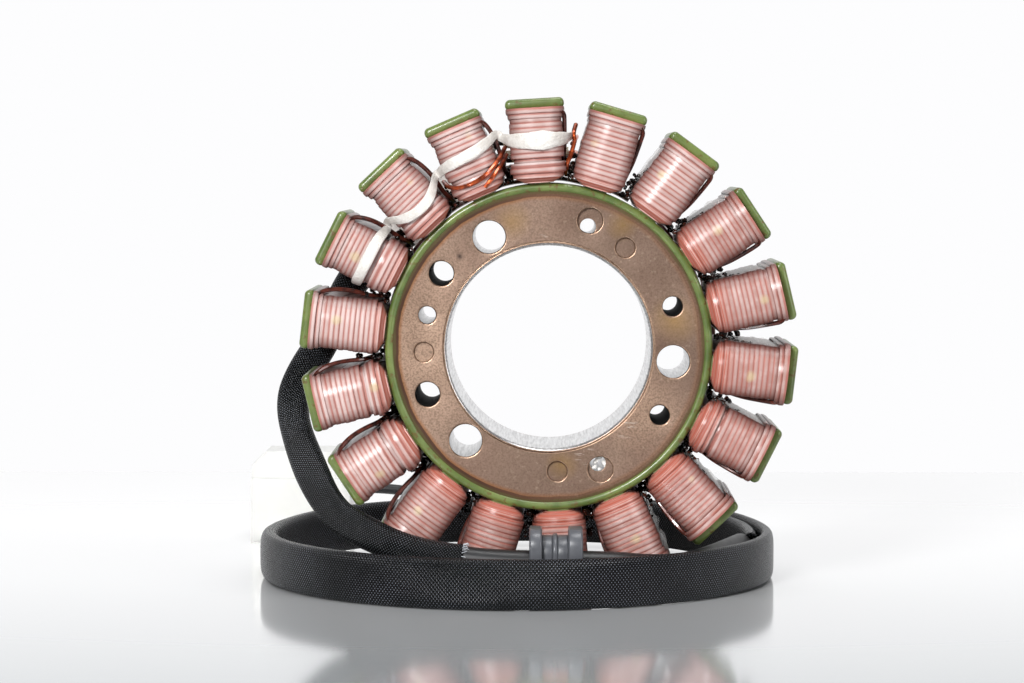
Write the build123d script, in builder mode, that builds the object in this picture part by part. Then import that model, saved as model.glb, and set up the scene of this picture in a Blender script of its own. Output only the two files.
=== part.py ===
from build123d import *
from math import cos, radians, sin, sqrt, tan
import os

os.makedirs("parts", exist_ok=True)

# Driving dimensions in millimetres. X is to the right, Y goes back from the open face, Z is up.
# The stator stands on its edge, with the bore axis along Y and the floor at Z = 0.

# Laminated core
pole_count = 18
top_pole_angle = 93.4
outer_diameter = 110.0
bore_diameter = 44.8
bore_chamfer = 1.0
yoke_diameter = 72.2
stack_length = 30.0
coat_thickness = 0.4
bare_face_diameter = 68.4
tooth_width = 5.0
shoe_width = 13.0
shoe_thickness = 2.2
stack_middle_y = -1.9

# Holes in the core's face, as angles anticlockwise from the right
mounting_hole_diameter = 7.2
mounting_hole_reach = 27.6
mounting_hole_angles = (118.4, 228.4, 353.4)
wide_hole_diameter = 5.4
wide_hole_angles = (145.5, 201.3)
narrow_hole_diameter = 4.3
narrow_hole_angles = (18.3, -31.5)
face_hole_reach = 28.7
vent_hole_diameter = 3.8
vent_hole_reach = 27.7
vent_hole_angle = 165.2
eyelet_diameter = 5.5
eyelet_depth = 1.0
eyelet_reach = 29.3
eyelet_angles = (72.0, -67.1)
eyelet_pilot_diameter = 3.5
eyelet_pilot_shift = 1.35

# Coils: fifteen turns of 1.1 mm show on each, and a ridge stands for about two of them
ridge_count = 7
ridge_height = 0.3
coil_root_width = 9.4
coil_tip_width = 11.8
coil_root_crown = 3.2
coil_tip_crown = 4.2
coil_corner = 3.0
coil_clearance = 0.1
window_clearance = 0.05
swell_share = 0.24
collar_height = 0.35
collar_share = 0.9
collared_coils = (6, 7, 8)
waist_depth = 0.45
waist_shares = (0.16, 0.26)
waisted_coils = (7, 13, 14, 17)

# Lacing tape over the coils at the top left
tape_width = 3.0
tape_thickness = 0.5
tape_clearance = 0.1
tape_seats = {16: 43.8, 17: 41.5, 18: 45.6, 1: 45.6}
hitch_angles = (123.4, 143.4)
hitch_slack = 0.7

# Output leads: splices and the upper woven sleeve on the back of the coils
splice_diameter = 3.0
splice_length = 15.0
splice_spacing = 3.4
splice_angle = 93.8
splice_sides = 6
sleeve_width = 7.6
sleeve_thickness = 3.4
laid_reach = 42.5
laid_angles = (106.2, 127.0, 148.0)
upper_sleeve_fall = [
    (-46.0, 19.3, 68.6),
    (-51.0, 19.4, 56.0),
    (-56.6, 18.4, 47.6),
    (-59.4, 14.0, 40.6),
    (-57.2, 5.5, 32.6),
    (-49.0, -15.0, 19.0),
    (-40.8, -22.6, 14.8),
    (-30.4, -28.55, 11.25),
    (-18.4, -29.3, 9.9),
]

# Lead cable between the two sleeves, with its grommet
lead_bend_share = 0.45
lead_sides = 5
cable_diameter = 5.2
lead_cable_route = [
    (-18.4, -29.3, 9.9),
    (-10.4, -29.8, 9.0),
    (13.6, -29.8, 9.0),
    (21.6, -26.6, 7.8),
    (29.6, -20.2, 7.3),
    (35.8, -11.2, 7.6),
    (44.0, 7.2, 8.4),
]
grommet_start_x = -4.2
grommet_height = 15.9
grommet_depth = 12.6
grommet_corner = 3.2
grommet_groove = 2.3
grommet_ridge = 0.6
grommet_flanges = (2.7, 3.2)
grommet_gaps = (2.0, 1.8, 1.9)
grommet_bore_clearance = 0.15
grommet_bore_sides = 8

# Lower woven sleeve: a flat sleeve on edge, wound in a loop round the stator's foot
loop_centre = (-7.0, 17.1)
loop_outer_diameter = 118.6
loop_height = 11.1
loop_wall = 3.6
loop_turn_gap = 0.2
loop_mouth_angle = -10.0
loop_overlap_angle = 104.0
loop_sides = 20

# Lead from the loop's outer wall to the plug
plug_lead_diameter = 2.6
plug_lead_start_angle = 99.0
plug_lead_start_run = 11.0
plug_lead_end = [
    (-33.0, 90.0, 12.6),
    (-50.0, 90.0, 12.6),
]
plug_length = 25.0
plug_width = 22.0
plug_height = 22.6
plug_shoulder_height = 15.9
plug_shoulder_step = 3.0
plug_corner = 3.5
terminal_count = 3
terminal_width = 6.8
terminal_thickness = 2.4
terminal_length = 16.0
terminal_pitch = 4.6
terminal_clearance = 0.3
terminal_recess = 1.0

# Values worked out from those above
axis_z = outer_diameter / 2
front_y = stack_middle_y - stack_length / 2
back_y = stack_middle_y + stack_length / 2
shoe_reach = outer_diameter / 2 - shoe_thickness
coil_start = yoke_diameter / 2 + coil_clearance
coil_end = shoe_reach - coil_clearance
coil_length = coil_end - coil_start
crown_back_y = back_y + coil_tip_crown
core_face = Plane(origin=(0, front_y, axis_z), x_dir=(1, 0, 0), z_dir=(0, -1, 0))
bare_front = core_face.offset(-coat_thickness)
bare_length = stack_length - 2 * coat_thickness


def polar(reach, angle):
    """A point of the core's face, from its distance and angle about the bore axis."""
    return (reach * cos(radians(angle)), reach * sin(radians(angle)))


def pole_angle(number):
    """Poles are numbered clockwise from the top."""
    return top_pole_angle - (number - 1) * 360 / pole_count


def pole_plane(angle, reach):
    """A plane across a pole: its X runs round the core and its Y towards the front."""
    out = (cos(radians(angle)), 0, sin(radians(angle)))
    along = (-sin(radians(angle)), 0, cos(radians(angle)))
    origin = (reach * out[0], stack_middle_y, axis_z + reach * out[2])
    return Plane(origin=origin, x_dir=along, z_dir=out)


def fillet_radii(points):
    """The largest arcs that the runs of a lead's route allow, one for each corner."""
    radii = []
    for before, corner, after in zip(points, points[1:], points[2:]):
        first = Vector(corner) - Vector(before)
        second = Vector(after) - Vector(corner)
        half_turn = radians(first.get_angle(second)) / 2
        radii.append(lead_bend_share * min(first.length, second.length) / tan(half_turn))
    return radii


def lead_path(name, points):
    """Straight runs joined by tangent arcs. Prints the arcs' radii and the path's length."""
    radii = fillet_radii(points)
    path = FilletPolyline(*points, radius=radii)
    print(f"{name}: {path.length:.1f} mm long, arcs of {[round(r, 1) for r in radii]} mm")
    return path


def finish(block, name):
    """Labels a finished piece and writes it to its own file."""
    block.part.label = name
    export_step(block.part, f"parts/{name}.step")


def make_lamination_stack():
    """The stamped core in its coat: ring, T poles, bare clamping faces and holes."""
    with BuildSketch() as pole:
        with Locations((yoke_diameter / 4 + outer_diameter / 4, 0)):
            Rectangle(outer_diameter / 2 - yoke_diameter / 2, tooth_width)
        with Locations((outer_diameter / 2 - shoe_thickness / 2, 0)):
            Rectangle(shoe_thickness, shoe_width)
        with Locations((yoke_diameter / 4, 0)):
            Rectangle(yoke_diameter / 2, tooth_width)
        Circle(outer_diameter / 2, mode=Mode.INTERSECT)
    with BuildPart() as stack:
        with BuildSketch(core_face):
            Circle(yoke_diameter / 2)
            with PolarLocations(0, pole_count, start_angle=top_pole_angle):
                add(pole.sketch)
            Circle(bore_diameter / 2, mode=Mode.SUBTRACT)
        extrude(amount=-stack_length)
        with BuildSketch(core_face, bare_front.offset(-bare_length)):
            Circle(bare_face_diameter / 2)
        extrude(amount=-coat_thickness, mode=Mode.SUBTRACT)
        rims = stack.edges().filter_by(GeomType.CIRCLE)
        rims = rims.filter_by(lambda e: abs(e.radius - bore_diameter / 2) < 0.01)
        chamfer(rims.sort_by(Axis.Y)[0], bore_chamfer)
        with Locations(bare_front):
            with Locations(*[polar(mounting_hole_reach, a) for a in mounting_hole_angles]):
                Hole(mounting_hole_diameter / 2, depth=bare_length)
            with Locations(*[polar(face_hole_reach, a) for a in wide_hole_angles]):
                Hole(wide_hole_diameter / 2, depth=bare_length)
            with Locations(*[polar(face_hole_reach, a) for a in narrow_hole_angles]):
                Hole(narrow_hole_diameter / 2, depth=bare_length)
            with Locations(polar(vent_hole_reach, vent_hole_angle)):
                Hole(vent_hole_diameter / 2, depth=bare_length)
            with Locations(*[polar(eyelet_reach, a) for a in eyelet_angles]):
                Hole(eyelet_diameter / 2, depth=eyelet_depth)
            pilot_reach = eyelet_reach - eyelet_pilot_shift
            with Locations(*[polar(pilot_reach, a) for a in eyelet_angles]):
                Hole(eyelet_pilot_diameter / 2, depth=bare_length)
    finish(stack, "lamination_stack")


def coil_halves(waisted, collared):
    """Half widths and half depths of the winding at each crest and groove, from the yoke out."""
    rows = []
    for step in range(2 * ridge_count + 1):
        share = step / (2 * ridge_count)
        swell = min(1.0, share / swell_share)
        width = coil_root_width + (coil_tip_width - coil_root_width) * swell
        crown = coil_root_crown + (coil_tip_crown - coil_root_crown) * swell
        proud = -ridge_height if step % 2 == 0 else 0
        if waisted and waist_shares[0] < share < waist_shares[1]:
            proud -= waist_depth
        if collared and share > collar_share:
            proud += collar_height
        rows.append((share * coil_length, width / 2 + proud, (stack_length / 2) + crown + proud))
    return rows


def wound_form(waisted, collared):
    """The ridged, crowned loop: its three side profiles run through and kept where they agree."""
    rows = coil_halves(waisted, collared)
    across = [(width, height) for height, width, depth in rows]
    along = [(depth, height) for height, width, depth in rows]
    corner = [((width + depth - coil_corner) * sqrt(0.5), height) for height, width, depth in rows]
    views = [
        (Plane.XZ, across),
        (Plane.YZ, along),
        (Plane(origin=(0, 0, 0), x_dir=(1, 1, 0), z_dir=(1, -1, 0)), corner),
        (Plane(origin=(0, 0, 0), x_dir=(1, -1, 0), z_dir=(-1, -1, 0)), corner),
    ]
    with BuildPart() as form:
        for plane, profile in views:
            mirrored = [(-half, height) for half, height in reversed(profile)]
            with BuildSketch(plane):
                with BuildLine():
                    Polyline(*profile, *mirrored, close=True)
                make_face()
            mode = Mode.INTERSECT if form.part else Mode.ADD
            extrude(amount=stack_length, both=True, mode=mode)
        with BuildSketch(Plane.XY):
            Rectangle(tooth_width + 2 * window_clearance, stack_length + 2 * window_clearance)
        extrude(amount=coil_length, mode=Mode.SUBTRACT)
    return form.part


def make_coils():
    """One winding a tooth, placed round the core."""
    forms = {}
    for number in range(1, pole_count + 1):
        kind = (number in waisted_coils, number in collared_coils)
        if kind not in forms:
            forms[kind] = wound_form(*kind)
        with BuildPart() as coil:
            with Locations(pole_plane(pole_angle(number), coil_start)):
                add(forms[kind])
        finish(coil, f"coil_{number:02d}")


def make_lacing_tape():
    """Straps over the coils' faces and the hitches that tie the sleeve to their backs."""
    inner_width = coil_tip_width + 2 * tape_clearance
    inner_crown = coil_tip_crown + tape_clearance
    with BuildPart() as lacing:
        for number, reach in tape_seats.items():
            plane = pole_plane(pole_angle(number), reach - tape_width / 2)
            with BuildSketch(plane):
                half = inner_width / 2 + tape_thickness
                front = stack_length / 2 + inner_crown + tape_thickness
                with BuildLine():
                    Polyline(
                        (-half, 0),
                        (-half, front - coil_corner),
                        (-half + coil_corner, front),
                        (half - coil_corner, front),
                        (half, front - coil_corner),
                        (half, 0),
                        (half - tape_thickness, 0),
                        (half - tape_thickness, front - coil_corner - tape_thickness / 2),
                        (half - coil_corner - tape_thickness / 2, front - tape_thickness),
                        (-half + coil_corner + tape_thickness / 2, front - tape_thickness),
                        (-half + tape_thickness, front - coil_corner - tape_thickness / 2),
                        (-half + tape_thickness, 0),
                        close=True,
                    )
                make_face()
            extrude(amount=tape_width)
        for angle in hitch_angles:
            x, z = polar(laid_reach - hitch_slack / 2, angle)
            middle_y = crown_back_y + tape_clearance + sleeve_thickness / 2
            along = (-sin(radians(angle)), 0, cos(radians(angle)))
            out = (cos(radians(angle)), 0, sin(radians(angle)))
            plane = Plane(origin=(x, middle_y, axis_z + z), x_dir=out, z_dir=along)
            with BuildSketch(plane):
                gap = 2 * tape_clearance
                Rectangle(
                    sleeve_width + gap + 2 * tape_thickness + hitch_slack,
                    sleeve_thickness + gap + 2 * tape_thickness,
                )
                Rectangle(
                    sleeve_width + gap + hitch_slack,
                    sleeve_thickness + gap,
                    mode=Mode.SUBTRACT,
                )
            extrude(amount=tape_width / 2, both=True)
    finish(lacing, "lacing_tape")


def make_splice_sleeve(number):
    """A sleeved joint between a coil end and an output lead."""
    offset = (number - 2) * splice_spacing
    x, z = polar(laid_reach + offset, splice_angle)
    along = (-sin(radians(splice_angle)), 0, cos(radians(splice_angle)))
    middle_y = crown_back_y + tape_clearance + splice_diameter / 2
    plane = Plane(origin=(x, middle_y, axis_z + z), z_dir=along)
    with BuildPart() as splice:
        with BuildSketch(plane):
            RegularPolygon(splice_diameter / 2, splice_sides)
        extrude(amount=splice_length / 2, both=True)
    finish(splice, f"splice_sleeve_{number}")


def upper_sleeve_route():
    """Round the backs of the coils, then out to the left and down to the front."""
    laid_y = crown_back_y + tape_clearance + sleeve_thickness / 2
    laid = [polar(laid_reach, angle) for angle in laid_angles]
    return [(x, laid_y, axis_z + z) for x, z in laid] + upper_sleeve_fall


def make_upper_sleeve():
    """The flat woven sleeve from the splices to its frayed end in front of the core."""
    route = upper_sleeve_route()
    start = Vector(route[0])
    along = (Vector(route[1]) - start).normalized()
    out_x, out_z = polar(1, laid_angles[0])
    with BuildPart() as sleeve:
        with BuildLine() as line:
            path = lead_path("upper_sleeve", route)
        with BuildSketch(Plane(origin=start, x_dir=(out_x, 0, out_z), z_dir=along)):
            Rectangle(sleeve_width, sleeve_thickness)
        sweep(path=line.line)
    check_volume("upper_sleeve", sleeve, sleeve_width * sleeve_thickness * path.length)
    finish(sleeve, "upper_sleeve")


def check_volume(name, block, expected):
    """Prints how close a swept lead is to its section times its length."""
    print(f"{name}: volume is {block.part.volume / expected:.4f} of section times length")


def make_round_lead(name, route, diameter):
    """A round lead, drawn with a few flat sides."""
    start = Vector(route[0])
    along = (Vector(route[1]) - start).normalized()
    with BuildPart() as lead:
        with BuildLine() as line:
            path = lead_path(name, route)
        with BuildSketch(Plane(origin=start, z_dir=along)) as section:
            RegularPolygon(diameter / 2, lead_sides)
        sweep(path=line.line)
    check_volume(name, lead, section.sketch.area * path.length)
    finish(lead, name)


def make_grommet():
    """The oblong rubber grommet: two flanges, a groove for the case wall and its middle rib."""
    _, cable_y, cable_z = lead_cable_route[1]
    layers = [
        (grommet_flanges[0], 0),
        (grommet_gaps[0], grommet_groove),
        (grommet_gaps[1], grommet_groove - grommet_ridge),
        (grommet_gaps[2], grommet_groove),
        (grommet_flanges[1], 0),
    ]
    with BuildPart() as grommet:
        x = grommet_start_x
        for thickness, inset in layers:
            plane = Plane(origin=(x, cable_y, grommet_height / 2), x_dir=(0, 1, 0), z_dir=(1, 0, 0))
            with BuildSketch(plane) as outline:
                Rectangle(grommet_depth - 2 * inset, grommet_height - 2 * inset)
                chamfer(outline.vertices(), grommet_corner - inset / 2)
            extrude(amount=thickness)
            x += thickness
        length = x - grommet_start_x
        bore = Plane(origin=(grommet_start_x, cable_y, cable_z), z_dir=(1, 0, 0))
        with BuildSketch(bore):
            bore_radius = cable_diameter / 2 + grommet_bore_clearance
            RegularPolygon(bore_radius, grommet_bore_sides, major_radius=False)
        extrude(amount=length, mode=Mode.SUBTRACT)
    finish(grommet, "lead_grommet")


def make_lower_sleeve():
    """The lower sleeve's loop: a full turn on edge, with the overlapping start of it inside."""
    outer_radius = loop_outer_diameter / 2
    inner_radius = outer_radius - loop_wall
    overlap = loop_overlap_angle - loop_mouth_angle
    with BuildPart() as loop:
        with BuildSketch(Plane(origin=(*loop_centre, 0))):
            with BuildSketch(Plane.XY, mode=Mode.PRIVATE) as inner_turn:
                RegularPolygon(inner_radius + loop_turn_gap, loop_sides)
                RegularPolygon(inner_radius - loop_wall, loop_sides, mode=Mode.SUBTRACT)
                with BuildLine():
                    reach = 1.5 * outer_radius
                    turns = [loop_mouth_angle + overlap * share for share in (0, 0.5, 1)]
                    Polyline((0, 0), *[polar(reach, turn) for turn in turns], close=True)
                make_face(mode=Mode.INTERSECT)
            RegularPolygon(outer_radius, loop_sides)
            RegularPolygon(inner_radius, loop_sides, mode=Mode.SUBTRACT)
            add(inner_turn.sketch)
        extrude(amount=loop_height)
    finish(loop, "lower_sleeve")


def plug_lead_route():
    """Straight out of a flat of the loop's wall, then up and to the left."""
    wall = loop_outer_diameter / 2 * cos(radians(180 / loop_sides))
    route = []
    for reach in (wall, wall + plug_lead_start_run):
        x, y = polar(reach, plug_lead_start_angle)
        route.append((loop_centre[0] + x, loop_centre[1] + y, loop_height / 2))
    return route + plug_lead_end


def make_plug():
    """The plug housing and the receptacle terminals behind its three slots."""
    right_x, lead_y, _ = plug_lead_end[-1]
    left_x = right_x - plug_length
    side = Plane(origin=(right_x, lead_y, 0), x_dir=(0, 1, 0), z_dir=(1, 0, 0))
    mouth = Plane(origin=(left_x, lead_y, plug_shoulder_height / 2), x_dir=(0, -1, 0), z_dir=(-1, 0, 0))
    rows = [(0, (i - (terminal_count - 1) / 2) * terminal_pitch) for i in range(terminal_count)]
    with BuildPart() as housing:
        with BuildSketch(side):
            with Locations((0, plug_shoulder_height / 2)):
                Rectangle(plug_width, plug_shoulder_height)
            top_width = plug_width - 2 * plug_shoulder_step
            with Locations((0, plug_height / 2)):
                Rectangle(top_width, plug_height)
        extrude(amount=-plug_length)
        top_left = housing.edges().filter_by(Axis.Y).group_by(Axis.Z)[-1].sort_by(Axis.X)[0]
        chamfer(top_left, plug_corner)
        with BuildSketch(mouth):
            with Locations(*rows):
                Rectangle(
                    terminal_width + 2 * terminal_clearance,
                    terminal_thickness + 2 * terminal_clearance,
                )
        extrude(amount=-(terminal_recess + terminal_length + terminal_clearance), mode=Mode.SUBTRACT)
    finish(housing, "plug_housing")
    with BuildPart() as terminals:
        with BuildSketch(mouth.offset(-terminal_recess)):
            with Locations(*rows):
                Rectangle(terminal_width, terminal_thickness)
        extrude(amount=-terminal_length)
    finish(terminals, "plug_terminals")


make_lamination_stack()
make_coils()
make_lacing_tape()
for splice_number in (1, 2, 3):
    make_splice_sleeve(splice_number)
make_upper_sleeve()
make_round_lead("lead_cable", lead_cable_route, cable_diameter)
make_grommet()
make_lower_sleeve()
make_round_lead("plug_lead", plug_lead_route(), plug_lead_diameter)
make_plug()
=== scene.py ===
# %% [markdown]
# # Dressing a wound stator
#
# A stator is the still half of a generator: a ring of stamped steel with eighteen poles, each wound
# with copper wire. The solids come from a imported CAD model, which stays exactly where it is. This
# notebook gives every piece the form and the finish that the eye expects, in metres, in the same
# frame: X to the right, Y from the open face to the back, Z up, with the floor at Z = 0.

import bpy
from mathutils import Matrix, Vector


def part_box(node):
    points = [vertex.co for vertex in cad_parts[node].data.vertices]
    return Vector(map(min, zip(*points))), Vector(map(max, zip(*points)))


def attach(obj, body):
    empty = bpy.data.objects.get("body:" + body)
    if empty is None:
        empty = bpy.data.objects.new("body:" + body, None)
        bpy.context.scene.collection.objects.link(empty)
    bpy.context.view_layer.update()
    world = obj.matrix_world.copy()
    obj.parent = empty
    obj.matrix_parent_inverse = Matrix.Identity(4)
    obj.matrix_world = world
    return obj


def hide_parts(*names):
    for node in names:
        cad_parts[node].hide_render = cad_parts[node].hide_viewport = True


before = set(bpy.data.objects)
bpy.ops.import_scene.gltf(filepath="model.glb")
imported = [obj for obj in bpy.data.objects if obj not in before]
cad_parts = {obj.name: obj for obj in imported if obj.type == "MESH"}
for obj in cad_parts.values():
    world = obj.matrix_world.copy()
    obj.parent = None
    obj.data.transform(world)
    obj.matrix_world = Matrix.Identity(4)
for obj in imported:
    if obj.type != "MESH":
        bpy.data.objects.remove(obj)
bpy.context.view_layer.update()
print(f"{len(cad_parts)} solids")

# %% Modules and units
import math
import random

import bmesh
import bpy
from mathutils import Vector, noise

MM = 0.001
FLOOR_Z = 0.0
core_low, core_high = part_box("lamination_stack")
axis_point = (core_low + core_high) / 2
front_y = core_low.y
back_y = core_high.y
stack_half = (back_y - front_y) / 2
outer_radius = (core_high.z - core_low.z) / 2
print(f"core {(core_high - core_low) / MM} mm, axis at {axis_point / MM} mm")

# %% [markdown]
# ## Colours and nodes
#
# Colours are picked as sRGB hex values, because that is how we see and name them, and one function
# turns them into the linear values that the renderer mixes. One more function adds any shader node
# with its settings and its links, so that a material reads from top to bottom like a recipe. Real
# surfaces are a base colour under stains, wear and dirt, so a third function lays those on in turn.

# %% Colours and nodes
def colour(hex_code):
    """Linear RGBA from an sRGB hex value such as #8a7262."""
    channels = [int(hex_code[i : i + 2], 16) / 255 for i in (1, 3, 5)]
    linear = [c / 12.92 if c <= 0.04045 else ((c + 0.055) / 1.055) ** 2.4 for c in channels]
    return (*linear, 1.0)


def add_node(tree, kind, inputs=None, **settings):
    """Adds a shader node. An input is a value, an output to link, or a node whose first output is linked."""
    node = tree.nodes.new("ShaderNode" + kind)
    for name, value in settings.items():
        setattr(node, name, value)
    for name, value in (inputs or {}).items():
        if isinstance(value, bpy.types.Node):
            value = value.outputs[0]
        if isinstance(value, bpy.types.NodeSocket):
            tree.links.new(value, node.inputs[name])
        else:
            node.inputs[name].default_value = value
    return node


def start_material(name):
    """An empty material, its node tree, and the place of each point in the row's frame."""
    material = bpy.data.materials.new(name)
    material.use_nodes = True
    material.node_tree.nodes.clear()
    place = add_node(material.node_tree, "TexCoord").outputs["Object"]
    return material, material.node_tree, place


def end_material(material, inputs):
    """Closes a material with one physical shader."""
    tree = material.node_tree
    add_node(tree, "OutputMaterial", {"Surface": add_node(tree, "BsdfPrincipled", inputs)})
    print(f"finish {material.name}: {len(tree.nodes)} nodes")
    return material


def per(size_mm):
    """The texture scale at which one pattern cell is about this many millimetres."""
    return 1 / (size_mm * MM)


def stained(tree, base, stains):
    """A base colour under stains in turn: (pattern, where none shows, where it is full, share, colour)."""
    shade = colour(base)
    for pattern, none_at, full_at, share, hex_code in stains:
        spread = {"Value": pattern, "From Min": none_at, "From Max": full_at, "To Max": share}
        cover = {0: add_node(tree, "MapRange", spread), 6: shade, 7: colour(hex_code)}
        shade = add_node(tree, "Mix", cover, data_type="RGBA").outputs[2]
    return shade


# %% [markdown]
# ## Skins
#
# Most pieces here are a section carried along a path: a wire, a sleeve, a rounded bar. So one
# function skins any row of rings, and another turns one or more such skins into a mesh. Edges
# sharper than a set angle stay crisp, and all others are shaded smooth.

# %% Skins
CRISP_ANGLE = math.radians(40)


def skin(rings, closed=False):
    """Points and faces through a row of rings, each a list of as many points."""
    count = len(rings[0])
    points = [point for ring in rings for point in ring]
    faces = []
    for i in range(len(rings) if closed else len(rings) - 1):
        here = i * count
        there = (i + 1) % len(rings) * count
        for k in range(count):
            turn = (k + 1) % count
            faces.append((here + k, here + turn, there + turn, there + k))
    if not closed:
        last = (len(rings) - 1) * count
        faces.append(tuple(range(count))[::-1])
        faces.append(tuple(last + k for k in range(count)))
    return points, faces


def mesh_from(name, parts):
    """One smooth-shaded mesh from several skins, faces outwards, with sharp creases kept."""
    points, faces = [], []
    for part_points, part_faces in parts:
        shift = len(points)
        points += part_points
        faces += [tuple(shift + k for k in face) for face in part_faces]
    mesh = bpy.data.meshes.new(name)
    mesh.from_pydata(points, [], faces)
    work = bmesh.new()
    work.from_mesh(mesh)
    bmesh.ops.recalc_face_normals(work, faces=work.faces)
    work.to_mesh(mesh)
    work.free()
    mesh.shade_smooth()
    mesh.set_sharp_from_angle(angle=CRISP_ANGLE)
    return mesh


def add_piece(name, mesh, finishes, stands_for=()):
    """Shows a mesh as a piece of the stator, in place of the CAD nodes that it stands for."""
    piece = bpy.data.objects.new(name, mesh)
    bpy.context.scene.collection.objects.link(piece)
    for finish in finishes:
        mesh.materials.append(finish)
    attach(piece, "root")
    if stands_for:
        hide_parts(*stands_for)
    print(f"{name}: {sum(len(p.vertices) - 2 for p in mesh.polygons)} triangles")
    return piece


# %% [markdown]
# ## Camera
#
# The photograph was taken with a long lens, almost level, a little above the middle of the ring.
# The two rims of the bore give the distance, because the far one looks smaller than the near one.

# %% Camera
PHOTO_WIDTH = 1024
FOCAL_PIXELS = 3075
SENSOR_WIDTH = 36.0
CAMERA_PLACE = Vector((-1.0, -692.9, 95.5)) * MM
TILT_DOWN = math.radians(3.32)
YAW_LEFT = math.radians(0.6)

camera = bpy.data.objects.new("camera", bpy.data.cameras.new("camera"))
bpy.context.scene.collection.objects.link(camera)
camera.data.sensor_width = SENSOR_WIDTH
camera.data.lens = SENSOR_WIDTH * FOCAL_PIXELS / PHOTO_WIDTH
camera.location = CAMERA_PLACE
camera.rotation_euler = (math.pi / 2 - TILT_DOWN, 0, YAW_LEFT)
bpy.context.scene.camera = camera
print(f"lens {camera.data.lens:.1f} mm")

# %% [markdown]
# ## Lead routes
#
# The leads are cords, so they come before anything that could get in their way. Each route is a
# short list of given points, and a NURBS spline runs smoothly past them, as a lead would.
# A sleeve needs a flat section, so its spline is read back as points, and the section is carried
# along them.

# %% Lead routes
# Behind the coils: distance from the axis, place along Y, and angles from the right in degrees
LAID_REACH = 42.5 * MM
LAID_Y = 19.1 * MM
LAID_ANGLES = (106.2, 127.0, 148.0)
# From there on: (x, y, z) in millimetres
UPPER_SLEEVE_FALL = [
    (-46.0, 19.3, 68.6),
    (-51.0, 19.4, 56.0),
    (-56.6, 18.4, 47.6),
    (-59.4, 14.0, 40.6),
    (-57.2, 5.5, 32.6),
    (-49.0, -15.0, 19.0),
    (-40.8, -22.6, 14.8),
    (-30.4, -28.55, 11.25),
    (-18.4, -29.3, 9.9),
]
LEAD_CABLE_ROUTE = [
    (-18.4, -29.3, 9.9),
    (-10.4, -29.8, 9.0),
    (13.6, -29.8, 9.0),
    (21.6, -26.6, 7.8),
    (29.6, -20.2, 7.3),
    (35.8, -11.2, 7.6),
    (44.0, 7.2, 8.4),
]


def polar(reach, degrees):
    """A point about the bore axis: across X and up Z, at an angle from the right."""
    angle = math.radians(degrees)
    return axis_point.x + reach * math.cos(angle), axis_point.z + reach * math.sin(angle)


def in_metres(route):
    """A route chosen in millimetres, as vectors in metres."""
    return [Vector(point) * MM for point in route]


def upper_sleeve_route():
    """Round the backs of the coils, then out to the left and down to the front."""
    laid = [polar(LAID_REACH, angle) for angle in LAID_ANGLES]
    return [Vector((x, LAID_Y, z)) for x, z in laid] + in_metres(UPPER_SLEEVE_FALL)


print(f"upper sleeve past {len(upper_sleeve_route())} points, cable past {len(LEAD_CABLE_ROUTE)}")

# %% Splines
def spline_curve(name, route):
    """A curve whose one NURBS spline runs past the points of a route."""
    curve = bpy.data.curves.new(name, "CURVE")
    curve.dimensions = "3D"
    curve.resolution_u = 16
    spline = curve.splines.new("NURBS")
    spline.points.add(len(route) - 1)
    for point, place in zip(spline.points, route):
        point.co = (*place, 1)
    spline.order_u = 3
    spline.use_endpoint_u = True
    return curve


# %% Lines
def line_length(line):
    """The length of a line of points."""
    return sum((after - before).length for before, after in zip(line, line[1:]))


def spaced(line, step):
    """Points along a line at even steps, its two ends kept."""
    lengths = [0.0]
    for before, after in zip(line, line[1:]):
        lengths.append(lengths[-1] + (after - before).length)
    count = max(2, round(lengths[-1] / step))
    result, k = [], 0
    for i in range(count + 1):
        target = lengths[-1] * i / count
        while k < len(line) - 2 and lengths[k + 1] < target:
            k += 1
        share = (target - lengths[k]) / max(lengths[k + 1] - lengths[k], 1e-12)
        result.append(line[k].lerp(line[k + 1], min(1.0, share)))
    return result


def spline_line(route, step):
    """Evenly spaced points along the smooth spline of a route."""
    holder = bpy.data.objects.new("route", spline_curve("route", route))
    mesh = bpy.data.meshes.new_from_object(holder)
    line = [vertex.co.copy() for vertex in mesh.vertices]
    bpy.data.objects.remove(holder)
    bpy.data.meshes.remove(mesh)
    return spaced(line, step)


def headings(line):
    """The direction of a line at each of its points."""
    ends = [line[0]] + line + [line[-1]]
    return [(ends[i + 2] - ends[i]).normalized() for i in range(len(line))]


def ease(x):
    """Zero to one with a soft start and stop."""
    x = max(0.0, min(1.0, x))
    return x * x * (3 - 2 * x)


cable_line = spline_line(in_metres(LEAD_CABLE_ROUTE), MM)
print(f"{len(cable_line)} points on the cable's {line_length(cable_line) / MM:.0f} mm")
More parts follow.
